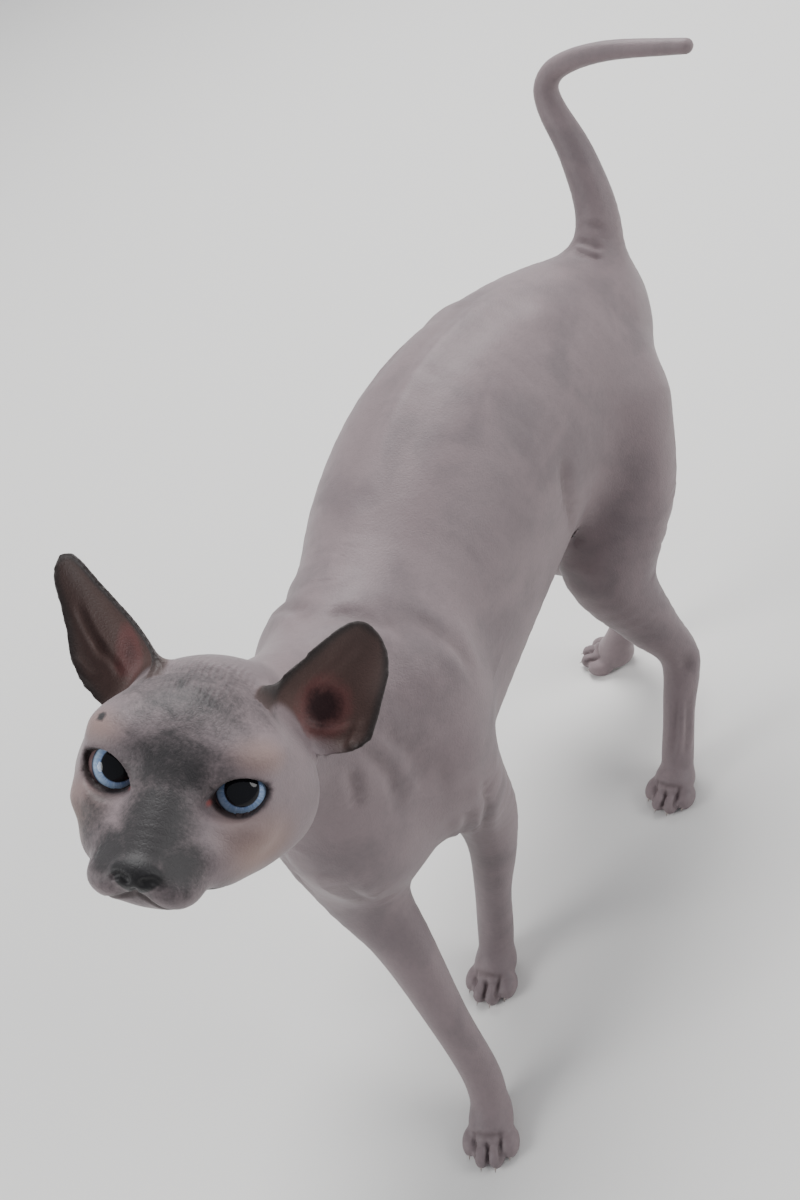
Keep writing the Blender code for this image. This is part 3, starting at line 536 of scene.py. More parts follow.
def lid_distance(own, sign):
    """Distance to the almond cone between one eye's lids, closed off just behind the eyeball's front."""
    across, out, upward = eye_axes(sign)
    slant = math.radians(EYE_SLANT_DEG) * sign
    offset = own - eye_centre(sign)
    depth = offset @ out
    scale = 0.55 + 0.63 * np.clip(depth / (EYE_RADIUS * 1.6), 0.0, 1.4)
    a, b = offset @ across / scale, offset @ upward / scale
    wide = a * math.cos(slant) + b * math.sin(slant)
    high = b * math.cos(slant) - a * math.sin(slant)
    half_width, above, below = EYE_OPENING
    narrowing = 1.0 - 0.22 * np.clip(wide / half_width, -1.0, 1.0) ** 2
    tall = np.where(high > 0.0, above, below) * narrowing
    inside = np.sqrt((wide / half_width) ** 2 + (high / tall) ** 2)
    slope = np.sqrt((wide / half_width ** 2) ** 2 + (high / tall ** 2) ** 2)
    almond = inside * (inside - 1.0) / np.maximum(slope, 1e-9)
    behind = (EYE_RADIUS - 0.0015) - np.linalg.norm(offset, axis=1)
    return np.maximum(np.maximum(almond, behind), 0.002 - depth)


def head_masses(own):
    """The head with its ears in its own axes, before its mouth, nostrils and lids are cut."""
    found = ball_distance(own, *HEAD_BALLS[0][:2])
    for centre, half, width in HEAD_BALLS[1:]:
        found = blend(found, ball_distance(own, centre, half), width)
    for centre, half, width in HEAD_PAIRS:
        for sign in (1, -1):
            found = blend(found, ball_distance(own, mirrored(centre, sign), half), width)
    found = blend(found, tube_distance(own, smooth_path(MUZZLE)), MUZZLE_BLEND)
    for centre, half, width in MUZZLE_PAIRS:
        for sign in (1, -1):
            found = blend(found, ball_distance(own, mirrored(centre, sign), half), width)
    for centre, half, width in MUZZLE_BALLS:
        found = blend(found, ball_distance(own, centre, half), width)
    for sign in (1, -1):
        lid = EYE_RADIUS + LID_THICKNESS
        found = blend(found, ball_distance(own, eye_centre(sign), (lid, lid, lid)), LID_BLEND)
    for side in ("left", "right"):
        found = blend(found, ear_distance(own, side), EAR_BLEND)
    return found


def slope_of(distance, points, here):
    """How a distance changes along each axis."""
    step = 0.0002
    slope = np.empty_like(points)
    for i in range(3):
        moved = points.copy()
        moved[:, i] += step
        slope[:, i] = (distance(moved) - here) / step
    return slope


def slide_to(distance, points, rounds=4, most=0.006):
    """Moves points along a distance's slope until they lie on its surface."""
    for _ in range(rounds):
        here = distance(points)
        slope = slope_of(distance, points, here)
        size = np.maximum((slope ** 2).sum(axis=1), 0.05)
        move = np.clip(here / size, -most, most)
        points = points - slope * move[:, None]
    return points


def on_face(stations):
    """A groove's stations laid on the face."""
    path = smooth_path(stations)
    path[:, :3] = slide_to(head_masses, path[:, :3])
    return path


def head_distance(points):
    own = to_head(points)
    found = head_masses(own)
    folded = own * (np.where(own[:, :1] < 0.0, -1.0, 1.0) * (1, 0, 0) + (0, 1, 1))
    for groove in GROOVES:
        found = carve(found, tube_distance(folded, groove), GROOVE_EDGE)
    for sign in (1, -1):
        found = carve(found, lid_distance(own, sign), LID_EDGE)
    return found


def ear_frame(side):
    """Base, axis, facing and width directions of one ear, in the head's own axes."""
    sign = 1.0 if side == "left" else -1.0
    base = np.array(EAR_BASES[side]) * (sign, 1.0, 1.0)
    tip = np.array(EAR_TIPS[side]) * (sign, 1.0, 1.0)
    along = tip - base
    facing = np.array(EAR_FACING[side]) * (sign, 1.0, 1.0)
    facing = facing - along * (facing @ along) / (along @ along)
    facing = facing / np.linalg.norm(facing)
    wide = np.cross(along, facing) / np.linalg.norm(along) * sign
    return base, along, facing, wide


def ear_rows(side, steps=6):
    """From root to tip: reach along the ear, radius of its curl, and its curl to crown and to cheek."""
    rows = smooth_path(EAR_ROWS[side], steps=steps)
    reach = EAR_START + (1.0 - EAR_START) * np.linspace(0.0, 1.0, len(rows))
    crown, cheek = np.radians(rows[:, 1]), np.radians(rows[:, 2])
    into_tip = np.clip((reach - 1.0) / EAR_ROUNDING[side] + 1.0, 0.0, 1.0)
    rounding = np.maximum(np.sqrt(1.0 - into_tip ** 2), EAR_TIP_SHARE)
    return reach, rows[:, 0], crown * rounding, cheek * rounding


def ear_coordinates(own, side):
    """Reach, distance from the curl's axis, angle, and the radius, curls and length of the sheet."""
    base, along, facing, wide = ear_frame(side)
    length = np.linalg.norm(along)
    offset = own - base
    reach = offset @ along / length ** 2
    reaches, radii, crowns, cheeks = ear_rows(side)
    radius = np.interp(reach, reaches, radii)
    crown = np.interp(reach, reaches, crowns)
    cheek = np.interp(reach, reaches, cheeks)
    offset = offset - np.outer(reach, along)
    out = offset @ facing - radius * EAR_AXIS_SHARE
    across = offset @ wide
    return reach, np.hypot(across, out), np.arctan2(across, -out), radius, crown, cheek, length


def ear_distance(own, side):
    """Distance to one ear, a thin sheet curled round its axis."""
    base, along, _, _ = ear_frame(side)
    near = np.linalg.norm(own - (base + along * 0.5), axis=1) < EAR_REACH
    whole = np.full(len(own), FAR_MARGIN)
    reach, spoke, angle, radius, crown, cheek, length = ear_coordinates(own[near], side)
    past = np.maximum(np.maximum(angle - cheek, -crown - angle), 0.0)
    flat = np.where(
        past > 0.0,
        np.sqrt(np.maximum(spoke ** 2 + radius ** 2 - 2 * spoke * radius * np.cos(past), 0.0)),
        np.abs(spoke - radius),
    )
    over = (reach - np.clip(reach, EAR_START, 1.0)) * length
    whole[near] = np.hypot(flat, over) - EAR_THICKNESS / 2
    return whole


def body_distance(points):
    """The whole cat: below zero inside, above zero outside."""
    found = tube_distance(points, smooth_path(TRUNK), (0.0, 0.0, 1.0))
    found = blend(found, tube_distance(points, smooth_path(NECK), (0.0, 0.5, 1.0)), NECK_BLEND)
    for leg, width in ((FORELEG_LEFT, FORELEG_BLEND), (FORELEG_RIGHT, FORELEG_BLEND),
                       (HINDLEG_LEFT, HINDLEG_BLEND), (HINDLEG_RIGHT, HINDLEG_BLEND)):
        found = blend(found, tube_distance(points, smooth_path(leg), (1.0, 0.0, 0.0)), width)
    found = blend(found, tube_distance(points, smooth_path(TAIL), (1.0, 0.0, 0.3)), TAIL_BLEND)
    near_head = np.linalg.norm(points - np.array(HEAD_PLACE), axis=1) < HEAD_REACH
    head = np.full(len(points), FAR_MARGIN)
    head[near_head] = head_distance(points[near_head])
    found = blend(found, head, HEAD_BLEND)
    for paw in PAWS:
        balls = toe_balls(paw)
        found = blend(found, ball_distance(points, *balls[-1]), PAD_BLEND)
        for ball in balls[:-1]:
            found = blend(found, ball_distance(points, *ball), TOE_BLEND)
    return np.maximum(found, -points[:, 2])


GROOVES = [on_face(MOUTH), on_face(NOSTRIL)]


def block_shape(masses):
    """Round blocks that stand in for tubes and balls until they are slid onto the field."""
    shape = bmesh.new()
    for centre, half, turn in masses:
        ball = bmesh.ops.create_icosphere(shape, subdivisions=2, radius=1.0)
        place = Matrix.Translation(Vector(centre)) @ Matrix(turn).to_4x4() @ Matrix.Diagonal((*half, 1.0))
        bmesh.ops.transform(shape, matrix=place, verts=ball["verts"])
    return shape


def path_blocks(stations):
    rows = smooth_path(stations, steps=12)
    return [(row[:3], [row[3:].mean()] * 3, np.eye(3)) for row in rows]


def head_blocks():
    axes = head_axes()
    lid = EYE_RADIUS + LID_THICKNESS
    balls = [ball[:2] for ball in HEAD_BALLS + MUZZLE_BALLS]
    pairs = [pair[:2] for pair in HEAD_PAIRS + MUZZLE_PAIRS] + [(eye_centre(1), (lid, lid, lid))]
    balls += [(mirrored(centre, sign), half) for centre, half in pairs for sign in (1, -1)]
    balls += [(row[:3], [row[3:].mean()] * 3) for row in smooth_path(MUZZLE)]
    return [(from_head(centre), half, axes) for centre, half in balls]


def body_blocks():
    blocks = []
    for stations in (TRUNK, NECK, TAIL, FORELEG_LEFT, FORELEG_RIGHT, HINDLEG_LEFT, HINDLEG_RIGHT):
        blocks += path_blocks(stations)
    for paw in PAWS:
        blocks += toe_balls(paw)
    return blocks + head_blocks()


def add_ear_block(shape, side):
    """A curled sheet, thicker than the ear, that the voxels can hold."""
    base, along, facing, wide = ear_frame(side)
    columns = np.linspace(0.0, 1.0, 21)
    skins = []
    for offset in (-EAR_BLOCK_THICKNESS / 2, EAR_BLOCK_THICKNESS / 2):
        grid = []
        for reach, radius, crown, cheek in zip(*ear_rows(side)):
            middle = base + along * reach + facing * radius * EAR_AXIS_SHARE
            ring = []
            for angle in columns * (crown + cheek) - crown:
                spoke = wide * math.sin(angle) - facing * math.cos(angle)
                ring.append(shape.verts.new(from_head(middle + spoke * (radius + offset))))
            grid.append(ring)
        skins.append(grid)
    inner, outer = skins
    faces = []
    for low in range(len(inner) - 1):
        for j in range(len(columns) - 1):
            faces.append((inner[low][j], inner[low][j + 1], inner[low + 1][j + 1], inner[low + 1][j]))
            faces.append((outer[low][j], outer[low + 1][j], outer[low + 1][j + 1], outer[low][j + 1]))
    rims = []
    for skin in skins:
        sides = [row[-1] for row in skin[1:-1]], [row[0] for row in skin[-2:0:-1]]
        rims.append(skin[0] + sides[0] + skin[-1][::-1] + sides[1])
    for i in range(len(rims[0])):
        j = (i + 1) % len(rims[0])
        faces.append((rims[0][j], rims[0][i], rims[1][i], rims[1][j]))
    made = [shape.faces.new(face) for face in faces]
    bmesh.ops.recalc_face_normals(shape, faces=made)


def deselect_all():
    bpy.ops.object.select_all(action="DESELECT")


def make_active(item):
    deselect_all()
    item.select_set(True)
    bpy.context.view_layer.objects.active = item


def new_object(name, shape):
    mesh = bpy.data.meshes.new(name)
    shape.to_mesh(mesh)
    shape.free()
    made = bpy.data.objects.new(name, mesh)
    bpy.context.collection.objects.link(made)
    return made


def coordinates(mesh):
    points = np.empty(len(mesh.vertices) * 3)
    mesh.vertices.foreach_get("co", points)
    return points.reshape(-1, 3)


def normals_of(mesh):
    found = np.empty(len(mesh.vertices) * 3)
    mesh.vertices.foreach_get("normal", found)
    return found.reshape(-1, 3)


def place_coordinates(mesh, points):
    mesh.vertices.foreach_set("co", np.asarray(points, float).ravel())
    mesh.update()


def relaxed(mesh, points, chosen):
    """Each chosen point moved half way to the middle of its neighbours."""
    edges = np.empty(len(mesh.edges) * 2, int)
    mesh.edges.foreach_get("vertices", edges)
    edges = edges.reshape(-1, 2)
    edges = edges[chosen[edges].any(axis=1)]
    total = np.zeros_like(points)
    count = np.zeros(len(points))
    for a, b in ((0, 1), (1, 0)):
        for i in range(3):
            total[:, i] += np.bincount(edges[:, a], weights=points[edges[:, b], i], minlength=len(points))
        count += np.bincount(edges[:, a], minlength=len(points))
    moved = points * 0.5 + total / np.maximum(count, 1)[:, None] * 0.5
    return np.where(chosen[:, None], moved, points)


def settle(mesh, chosen, rounds):
    """Relaxes and slides the chosen points, by turns."""
    points = coordinates(mesh)
    for _ in range(rounds):
        points = relaxed(mesh, points, chosen)
        points[chosen] = slide_to(body_distance, points[chosen], rounds=2)
    place_coordinates(mesh, points)


def divide_finer(item, inside):
    """Splits each face whose middle is inside the region in four, and returns a mask of its points."""
    mesh = item.data
    middles = np.empty(len(mesh.polygons) * 3)
    mesh.polygons.foreach_get("center", middles)
    chosen = inside(middles.reshape(-1, 3))
    mesh.polygons.foreach_set("select", chosen)
    mesh.edges.foreach_set("select", np.zeros(len(mesh.edges), bool))
    mesh.vertices.foreach_set("select", np.zeros(len(mesh.vertices), bool))
    bpy.context.tool_settings.mesh_select_mode = (False, False, True)
    make_active(item)
    bpy.ops.object.mode_set(mode="EDIT")
    bpy.ops.mesh.subdivide(number_cuts=1)
    bpy.ops.object.mode_set(mode="OBJECT")
    return inside(coordinates(item.data))


def even_rims(mesh):
    """Smooths the rims of the ears, which are finer than the field can hold."""
    points = coordinates(mesh)
    own = to_head(points)
    chosen = near_rim(own, "left") | near_rim(own, "right")
    for _ in range(RIM_ROUNDS):
        points = relaxed(mesh, points, chosen)
    place_coordinates(mesh, points)


def far_side(places):
    """The same places on the other side of the body, laid on the skin."""
    turned = np.array(places, float) * (-1.0, 1.0, 1.0) + (2 * BODY_MIDDLE, 0.0, 0.0)
    return slide_to(body_distance, turned)


def fold_offset(points, stations, width, depth):
    """How far a fold moves each point: down in its line, up on both banks, and none at its ends."""
    path = smooth_path(stations, steps=3)
    reach = 4.0 * width
    near = ((points > path.min(axis=0) - reach) & (points < path.max(axis=0) + reach)).all(axis=1)
    whole = np.zeros(len(points))
    points = points[near]
    nearest = np.full(len(points), FAR_MARGIN)
    share = np.zeros(len(points))
    for i, (start, end) in enumerate(zip(path[:-1], path[1:])):
        axis = end - start
        along = np.clip((points - start) @ axis / (axis @ axis), 0.0, 1.0)
        away = np.linalg.norm(points - start - np.outer(along, axis), axis=1)
        closer = away < nearest
        nearest[closer] = away[closer]
        share[closer] = (i + along[closer]) / (len(path) - 1)
    fade = 1.0 - soft(np.minimum(share, 1.0 - share), 0.0, FOLD_ENDS)
    line = np.exp(-(nearest / width) ** 2)
    banks = np.exp(-((nearest - BANK_PLACE * width) / width) ** 2)
    whole[near] = (BANK_SHARE * banks - line) * depth * fade
    return whole


def paw_creases(paw):
    """The creases between the toes of a paw and the one across their roots, laid on the skin."""
    toes = toe_balls(paw)[:-1]
    middles = [(first[0] + second[0]) / 2 for first, second in zip(toes[:-1], toes[1:])]
    lines = [(TOE_CREASE, middle) for middle in middles] + [(TOE_ROOTS, middles[1])]
    turn = toes[0][2]
    found = []
    for (depth, width, stations), middle in lines:
        placed = np.array(stations) @ turn.T + middle
        found.append((depth, width, slide_to(body_distance, placed, rounds=6, most=0.002)))
    return found


def fold_skin(item):
    """Presses the folds, swells and hollows into the skin, and keeps how far the creases are pressed in as a
    mask of painted shade.
    """
    mesh = item.data
    points = coordinates(mesh)
    offset = np.zeros(len(points))
    places = np.vstack([stations for _, _, _, stations in FOLDS.values()] + [[swell[0]] for swell in SWELLS])
    turned = far_side(places)
    start = 0
    for depth, width, both, stations in FOLDS.values():
        offset += fold_offset(points, stations, width, depth)
        if both:
            offset += fold_offset(points, turned[start : start + len(stations)], width, depth)
        start += len(stations)
    pressed = np.zeros(len(points))
    for paw in PAWS:
        for depth, width, stations in paw_creases(paw):
            pressed += fold_offset(points, stations, width, depth)
    # Painted shade: the bottoms of the folds, at a share of their depth, and the creases of the paws are
    # darkened.
    attribute(mesh, "crease_shade", np.clip(-(offset * FOLD_SHADE + pressed) / CREASE_DEPTH, 0.0, 1.0))
    offset += pressed
    for i, (_, radius, height) in enumerate(SWELLS):
        for place in (places[start + i], turned[start + i]):
            offset += height * soft(np.linalg.norm(points - place, axis=1), 0.0, radius)
    own = to_head(points)
    off_head = 1.0 - soft(own[:, 1], 0.052, 0.060) * soft(np.linalg.norm(own, axis=1), 0.090, 0.100)
    offset *= off_head
    for depth, width, stations in EAR_FOLDS:
        offset += fold_offset(own, stations, width, depth)
    place_coordinates(mesh, points + normals_of(mesh) * offset[:, None])


def near_head(points):
    own = to_head(points)
    return (own[:, 1] < HEAD_BACK) & (np.linalg.norm(own - (0.0, 0.015, 0.0), axis=1) < HEAD_RADIUS)


def near_paws(points):
    return points[:, 2] < PAW_HEIGHT


def near_face(points):
    """Round the eyes, the nose and the mouth, along the rims of the ears and at the root of the tail."""
    own = to_head(points)
    found = np.linalg.norm(own - NOSE_MIDDLE, axis=1) < NOSE_RADIUS
    for side, sign in (("left", 1.0), ("right", -1.0)):
        found |= np.linalg.norm(own - eye_centre(sign), axis=1) < EYE_REGION
        found |= near_rim(own, side)
    return found | (np.linalg.norm(points - TAIL_FOLDS, axis=1) < TAIL_FOLDS_REACH)


def near_rim(own, side):
    reach, spoke, angle, radius, crown, cheek, length = ear_coordinates(own, side)
    at_sheet = np.abs(spoke - radius) < RIM_DEPTH
    at_side = np.minimum(np.abs(angle - cheek), np.abs(angle + crown)) * radius < RIM_WIDTH
    at_tip = (np.abs(1.0 - reach) * length < RIM_TIP) & (angle < cheek + 0.2) & (angle > -crown - 0.2)
    return (reach > 0.02) & (reach < 1.06) & at_sheet & (at_side | at_tip)


def thin_body(item):
    """Fewer and larger triangles away from the head and the paws."""
    mesh = item.data
    points = coordinates(mesh)
    body = np.nonzero(~(near_head(points) | near_paws(points)))[0]
    group = item.vertex_groups.new(name="body")
    group.add(body.tolist(), 1.0, "REPLACE")
    thin = item.modifiers.new("thin", "DECIMATE")
    thin.vertex_group = group.name
    share = len(body) / len(points)
    thin.ratio = 1.0 - share * (1.0 - BODY_SHARE)
    thin.vertex_group_factor = 1.0
    bpy.ops.object.modifier_apply(modifier=thin.name)
    item.vertex_groups.clear()


def skin_shape():
    """The whole skin as one mesh on the field, finest at the face."""
    shape = block_shape(body_blocks())
    for side in ("left", "right"):
        add_ear_block(shape, side)
    item = new_object("skin", shape)
    make_active(item)
    remesh = item.modifiers.new("voxels", "REMESH")
    remesh.mode = "VOXEL"
    remesh.voxel_size = BODY_VOXEL
    bpy.ops.object.modifier_apply(modifier=remesh.name)
    thin_body(item)
    mesh = item.data
    everywhere = np.ones(len(mesh.vertices), bool)
    place_coordinates(mesh, slide_to(body_distance, coordinates(mesh), rounds=3))
    settle(mesh, everywhere, 1)
    settle(item.data, divide_finer(item, near_face), 2)
    even_rims(item.data)
    return item


def attribute(mesh, name, values):
    """Keeps a mask on the points of a mesh, for its material to read."""
    made = mesh.attributes.new(name, "FLOAT", "POINT")
    made.data.foreach_set("value", np.asarray(values, np.float32))


def soft(distance, inner, outer):
    """One inside the inner distance, falling smoothly to none at the outer one."""
    t = np.clip((outer - distance) / (outer - inner), 0.0, 1.0)
    return t * t * (3.0 - 2.0 * t)


def from_place(own, place, half):
    """Distance from a named place, in its own half sizes."""
    return np.linalg.norm((own - np.array(place)) / np.array(half), axis=1)


def mark_skin(item):
    """Masks of the parts of the skin that have a colour or a relief of their own, and of the painted shade in
    the depths of the ears' cups.
    """
    mesh = item.data
    points = coordinates(mesh)
    own = to_head(points)
    on_head = soft(own[:, 1], 0.050, 0.066) * soft(np.linalg.norm(own, axis=1), 0.090, 0.105)
    folded = np.column_stack((np.abs(own[:, 0]), own[:, 1:]))
    place = mesh.attributes.new("head_place", "FLOAT_VECTOR", "POINT")
    place.data.foreach_set("vector", own.astype(np.float32).ravel())
    for name, patches in FACE_PATCHES.items():
        mask = np.zeros(len(points))
        for side, centre, half, inner, outer, strength in patches:
            seen = own * (side, 1.0, 1.0) if side else folded
            mask = np.maximum(mask, soft(from_place(seen, centre, half), inner, outer) * strength)
        attribute(mesh, name, mask * on_head)
    narrow = np.clip(1.0 + (own[:, 2] + 0.0250) / 0.016, 0.35, 1.05)
    leather = np.column_stack((own[:, 0] / narrow, own[:, 1:]))
    attribute(mesh, "nose", soft(from_place(leather, NOSE_PLACE, NOSE_HALF), 0.84, 1.0))
    ear = np.zeros(len(points))
    rim = np.zeros(len(points))
    red = np.zeros(len(points))
    cup_shade = np.zeros(len(points))
    for side in ("left", "right"):
        reach, spoke, angle, radius, crown, cheek, length = ear_coordinates(own, side)
        sheet = soft(np.abs(spoke - radius), 0.0025, 0.0045) * soft(np.abs(reach - 0.5), 0.60, 0.66)
        sheet *= (angle < cheek + 0.25) & (angle > -crown - 0.25)
        ear = np.maximum(ear, sheet * np.clip((reach - 0.02) / 0.14, 0.0, 1.0))
        to_side = np.maximum(np.minimum(cheek - angle, crown + angle), 0.0) * radius
        edge = np.minimum(to_side, np.maximum(1.0 - reach, 0.0) * length)
        off_root = sheet * np.clip(reach / 0.2, 0.0, 1.0)
        rim = np.maximum(rim, off_root * soft(edge, 0.0004, 0.0075))
        tip = soft(1.0 - reach, -0.05, 0.75) * 0.55
        rim = np.maximum(rim, off_root * np.maximum(tip, soft(edge, 0.0, 0.016) * 0.5))
        # Painted shade in the depth of each cup, full in the left ear and faint in the right.
        centre, half, shade_strength = EAR_CUP_SHADE[side]
        inside = sheet * soft(spoke - radius, -0.0010, 0.0004)
        away = from_place(own, centre, half)
        red = np.maximum(red, inside * soft(away, 0.25, 1.3))
        cup_shade = np.maximum(cup_shade, inside * soft(away, 0.0, 0.95) * shade_strength)
    attribute(mesh, "ear", ear)
    attribute(mesh, "ear_rim", rim)
    attribute(mesh, "ear_red", red)
    attribute(mesh, "ear_cup_shade", cup_shade)
    lid = np.zeros(len(points))
    corner = np.zeros(len(points))
    for sign in (1, -1):
        near = soft(np.linalg.norm(own - eye_centre(sign), axis=1), 0.0128, 0.0150)
        lid = np.maximum(lid, soft(np.abs(lid_distance(own, sign)), 0.0006, 0.0022) * near)
        inner = mirrored(TEAR_PLACE, sign)
        corner = np.maximum(corner, soft(from_place(own, inner, TEAR_HALF), 0.4, 1.0))
    attribute(mesh, "lid", lid)
    attribute(mesh, "tear", corner)
    attribute(mesh, "lip", soft(tube_distance(folded, GROOVES[0]), 0.0, 0.0022))
    attribute(mesh, "pad", soft(points[:, 2], 0.0015, 0.0040))


def group_socket(tree, name, kind, out=False, default=None):
    made = tree.interface.new_socket(name=name, in_out="OUTPUT" if out else "INPUT", socket_type=kind)
    if default is not None:
        made.default_value = default
    return made


def new_group(name):
    return bpy.data.node_groups.new(name, "ShaderNodeTree")


def mix_colours(tree, factor, first, second):
    """A colour mix whose factor and colours are sockets or plain values; returns its result."""
    node = tree.nodes.new("ShaderNodeMix")
    node.data_type = "RGBA"
    for socket, value in ((node.inputs[0], factor), (node.inputs[6], first), (node.inputs[7], second)):
        if isinstance(value, bpy.types.NodeSocket):
            tree.links.new(value, socket)
        else:
            socket.default_value = value
    return node.outputs[2]


def combine(tree, operation, first, second=0.0):
    node = tree.nodes.new("ShaderNodeMath")
    node.operation = operation
    for socket, value in ((node.inputs[0], first), (node.inputs[1], second)):
        if isinstance(value, bpy.types.NodeSocket):
            tree.links.new(value, socket)
        else:
            socket.default_value = value
    return node.outputs[0]


def noise(tree, place, scale, detail=3.0, roughness=0.5, distortion=0.0):
    node = tree.nodes.new("ShaderNodeTexNoise")
    node.inputs["Scale"].default_value = scale
    node.inputs["Detail"].default_value = detail
    node.inputs["Roughness"].default_value = roughness
    node.inputs["Distortion"].default_value = distortion
    tree.links.new(place, node.inputs["Vector"])
    return node.outputs["Fac"]


def ramp(tree, value, low, high):
    """A value spread from none at one level to full at another."""
    node = tree.nodes.new("ShaderNodeMapRange")
    node.interpolation_type = "SMOOTHSTEP"
    node.inputs["From Min"].default_value = low
    node.inputs["From Max"].default_value = high
    tree.links.new(value, node.inputs["Value"])
    return node.outputs["Result"]


def read_mask(tree, name):
    node = tree.nodes.new("ShaderNodeAttribute")
    node.attribute_name = name
    return node.outputs["Fac"]


def mottle_group():
    """Blotches and fine speckle that vary a skin's colour."""
    tree = new_group("skin mottle")
    group_socket(tree, "Place", "NodeSocketVector")
    group_socket(tree, "Colour", "NodeSocketColor", default=(0.5, 0.4, 0.4, 1.0))
    group_socket(tree, "Blotch Colour", "NodeSocketColor", default=(0.4, 0.3, 0.3, 1.0))
    group_socket(tree, "Amount", "NodeSocketFloat", default=0.5)
    group_socket(tree, "Colour", "NodeSocketColor", out=True)
    start = tree.nodes.new("NodeGroupInput")
    end = tree.nodes.new("NodeGroupOutput")
    broad = ramp(tree, noise(tree, start.outputs["Place"], 28.0, 4.0, 0.55, 0.4), 0.42, 0.66)
    fine = ramp(tree, noise(tree, start.outputs["Place"], 420.0, 3.0, 0.6), 0.40, 0.70)
    total = combine(tree, "ADD", broad, combine(tree, "MULTIPLY", fine, 0.25))
    amount = combine(tree, "MULTIPLY", total, start.outputs["Amount"])
    amount.node.use_clamp = True
    mixed = mix_colours(tree, amount, start.outputs["Colour"], start.outputs["Blotch Colour"])
    tree.links.new(mixed, end.inputs[0])
    return tree


def grain_group():
    """Height of bare skin: fine crossing wrinkles, pores and a trace of down."""
    tree = new_group("skin grain")
    group_socket(tree, "Place", "NodeSocketVector")
    group_socket(tree, "Height", "NodeSocketFloat", out=True)
    start = tree.nodes.new("NodeGroupInput")
    end = tree.nodes.new("NodeGroupOutput")
    place = start.outputs["Place"]
    cells = tree.nodes.new("ShaderNodeTexVoronoi")
    cells.feature = "DISTANCE_TO_EDGE"
    cells.inputs["Scale"].default_value = 620.0
    tree.links.new(place, cells.inputs["Vector"])
    lines = ramp(tree, cells.outputs["Distance"], 0.0, 0.25)
    broad = noise(tree, place, 90.0, 3.0, 0.5, 0.6)
    down = noise(tree, place, 1800.0, 2.0, 0.5)
    height = combine(tree, "MULTIPLY", lines, 0.30)
    height = combine(tree, "ADD", height, combine(tree, "MULTIPLY", broad, 1.4))
    height = combine(tree, "ADD", height, combine(tree, "MULTIPLY", down, 0.35))
    tree.links.new(height, end.inputs[0])
    return tree


def add_group(tree, group):
    node = tree.nodes.new("ShaderNodeGroup")
    node.node_tree = group
    return node


def new_material(name):
    made = bpy.data.materials.new(name)
    made.use_nodes = True
    return made, made.node_tree, made.node_tree.nodes["Principled BSDF"]


def linear(colour):
    return (*colour, 1.0)


def speckle_group():
    """Breaks the edge of a soft mask into blotches and specks."""
    tree = new_group("speckled edge")
    group_socket(tree, "Place", "NodeSocketVector")
    group_socket(tree, "Mask", "NodeSocketFloat", default=0.0)
    group_socket(tree, "Mask", "NodeSocketFloat", out=True)
    start = tree.nodes.new("NodeGroupInput")
    end = tree.nodes.new("NodeGroupOutput")
    place = start.outputs["Place"]
    blotches = combine(tree, "MULTIPLY", noise(tree, place, 110.0, 5.0, 0.65, 0.8), 0.75)
    specks = combine(tree, "MULTIPLY", noise(tree, place, 800.0, 2.0, 0.5), 0.35)
    level = combine(tree, "ADD", combine(tree, "ADD", blotches, specks), start.outputs["Mask"])
    fade = ramp(tree, start.outputs["Mask"], 0.0, 0.25)
    tree.links.new(combine(tree, "MULTIPLY", ramp(tree, level, 0.45, 1.30), fade), end.inputs[0])
    return tree


def wrinkle_group():
    """Height of fine wrinkles that run one way."""
    tree = new_group("fine wrinkles")
    group_socket(tree, "Place", "NodeSocketVector")
    group_socket(tree, "Mask", "NodeSocketFloat", default=0.0)
    group_socket(tree, "Height", "NodeSocketFloat", out=True)
    start = tree.nodes.new("NodeGroupInput")
    end = tree.nodes.new("NodeGroupOutput")
    bands = tree.nodes.new("ShaderNodeTexWave")
    bands.bands_direction = "X"
    bands.inputs["Scale"].default_value = WRINKLE_SCALE
    bands.inputs["Distortion"].default_value = 5.0
    bands.inputs["Detail"].default_value = 2.0
    bands.inputs["Detail Scale"].default_value = 0.55
    tree.links.new(start.outputs["Place"], bands.inputs["Vector"])
    broken = ramp(tree, noise(tree, start.outputs["Place"], 75.0, 3.0, 0.6), 0.36, 0.62)
    lines = combine(tree, "MULTIPLY", bands.outputs["Fac"], broken)
    tree.links.new(combine(tree, "MULTIPLY", lines, start.outputs["Mask"]), end.inputs[0])
    return tree


# The masks of the skin in the order they are laid on, each with its colour, and those with a broken edge. The
# creases and the depths of the ears' cups get painted shade.
SKIN_LAYERS = (
    ("warm", "cheek"), ("dark_face", "mask"), ("ear", "ear"), ("ear_rim", "ear_rim"), ("ear_red", "ear_red"),
    ("ear_cup_shade", "ear_cup_shade"), ("crease_shade", "crease_shade"), ("pad", "pad"), ("lip", "lip"), ("lid", "lid"),
    ("tear", "tear"), ("nose", "nose"),
)
SPECKLED_LAYERS = ("dark_face", "ear_red", "ear_cup_shade")


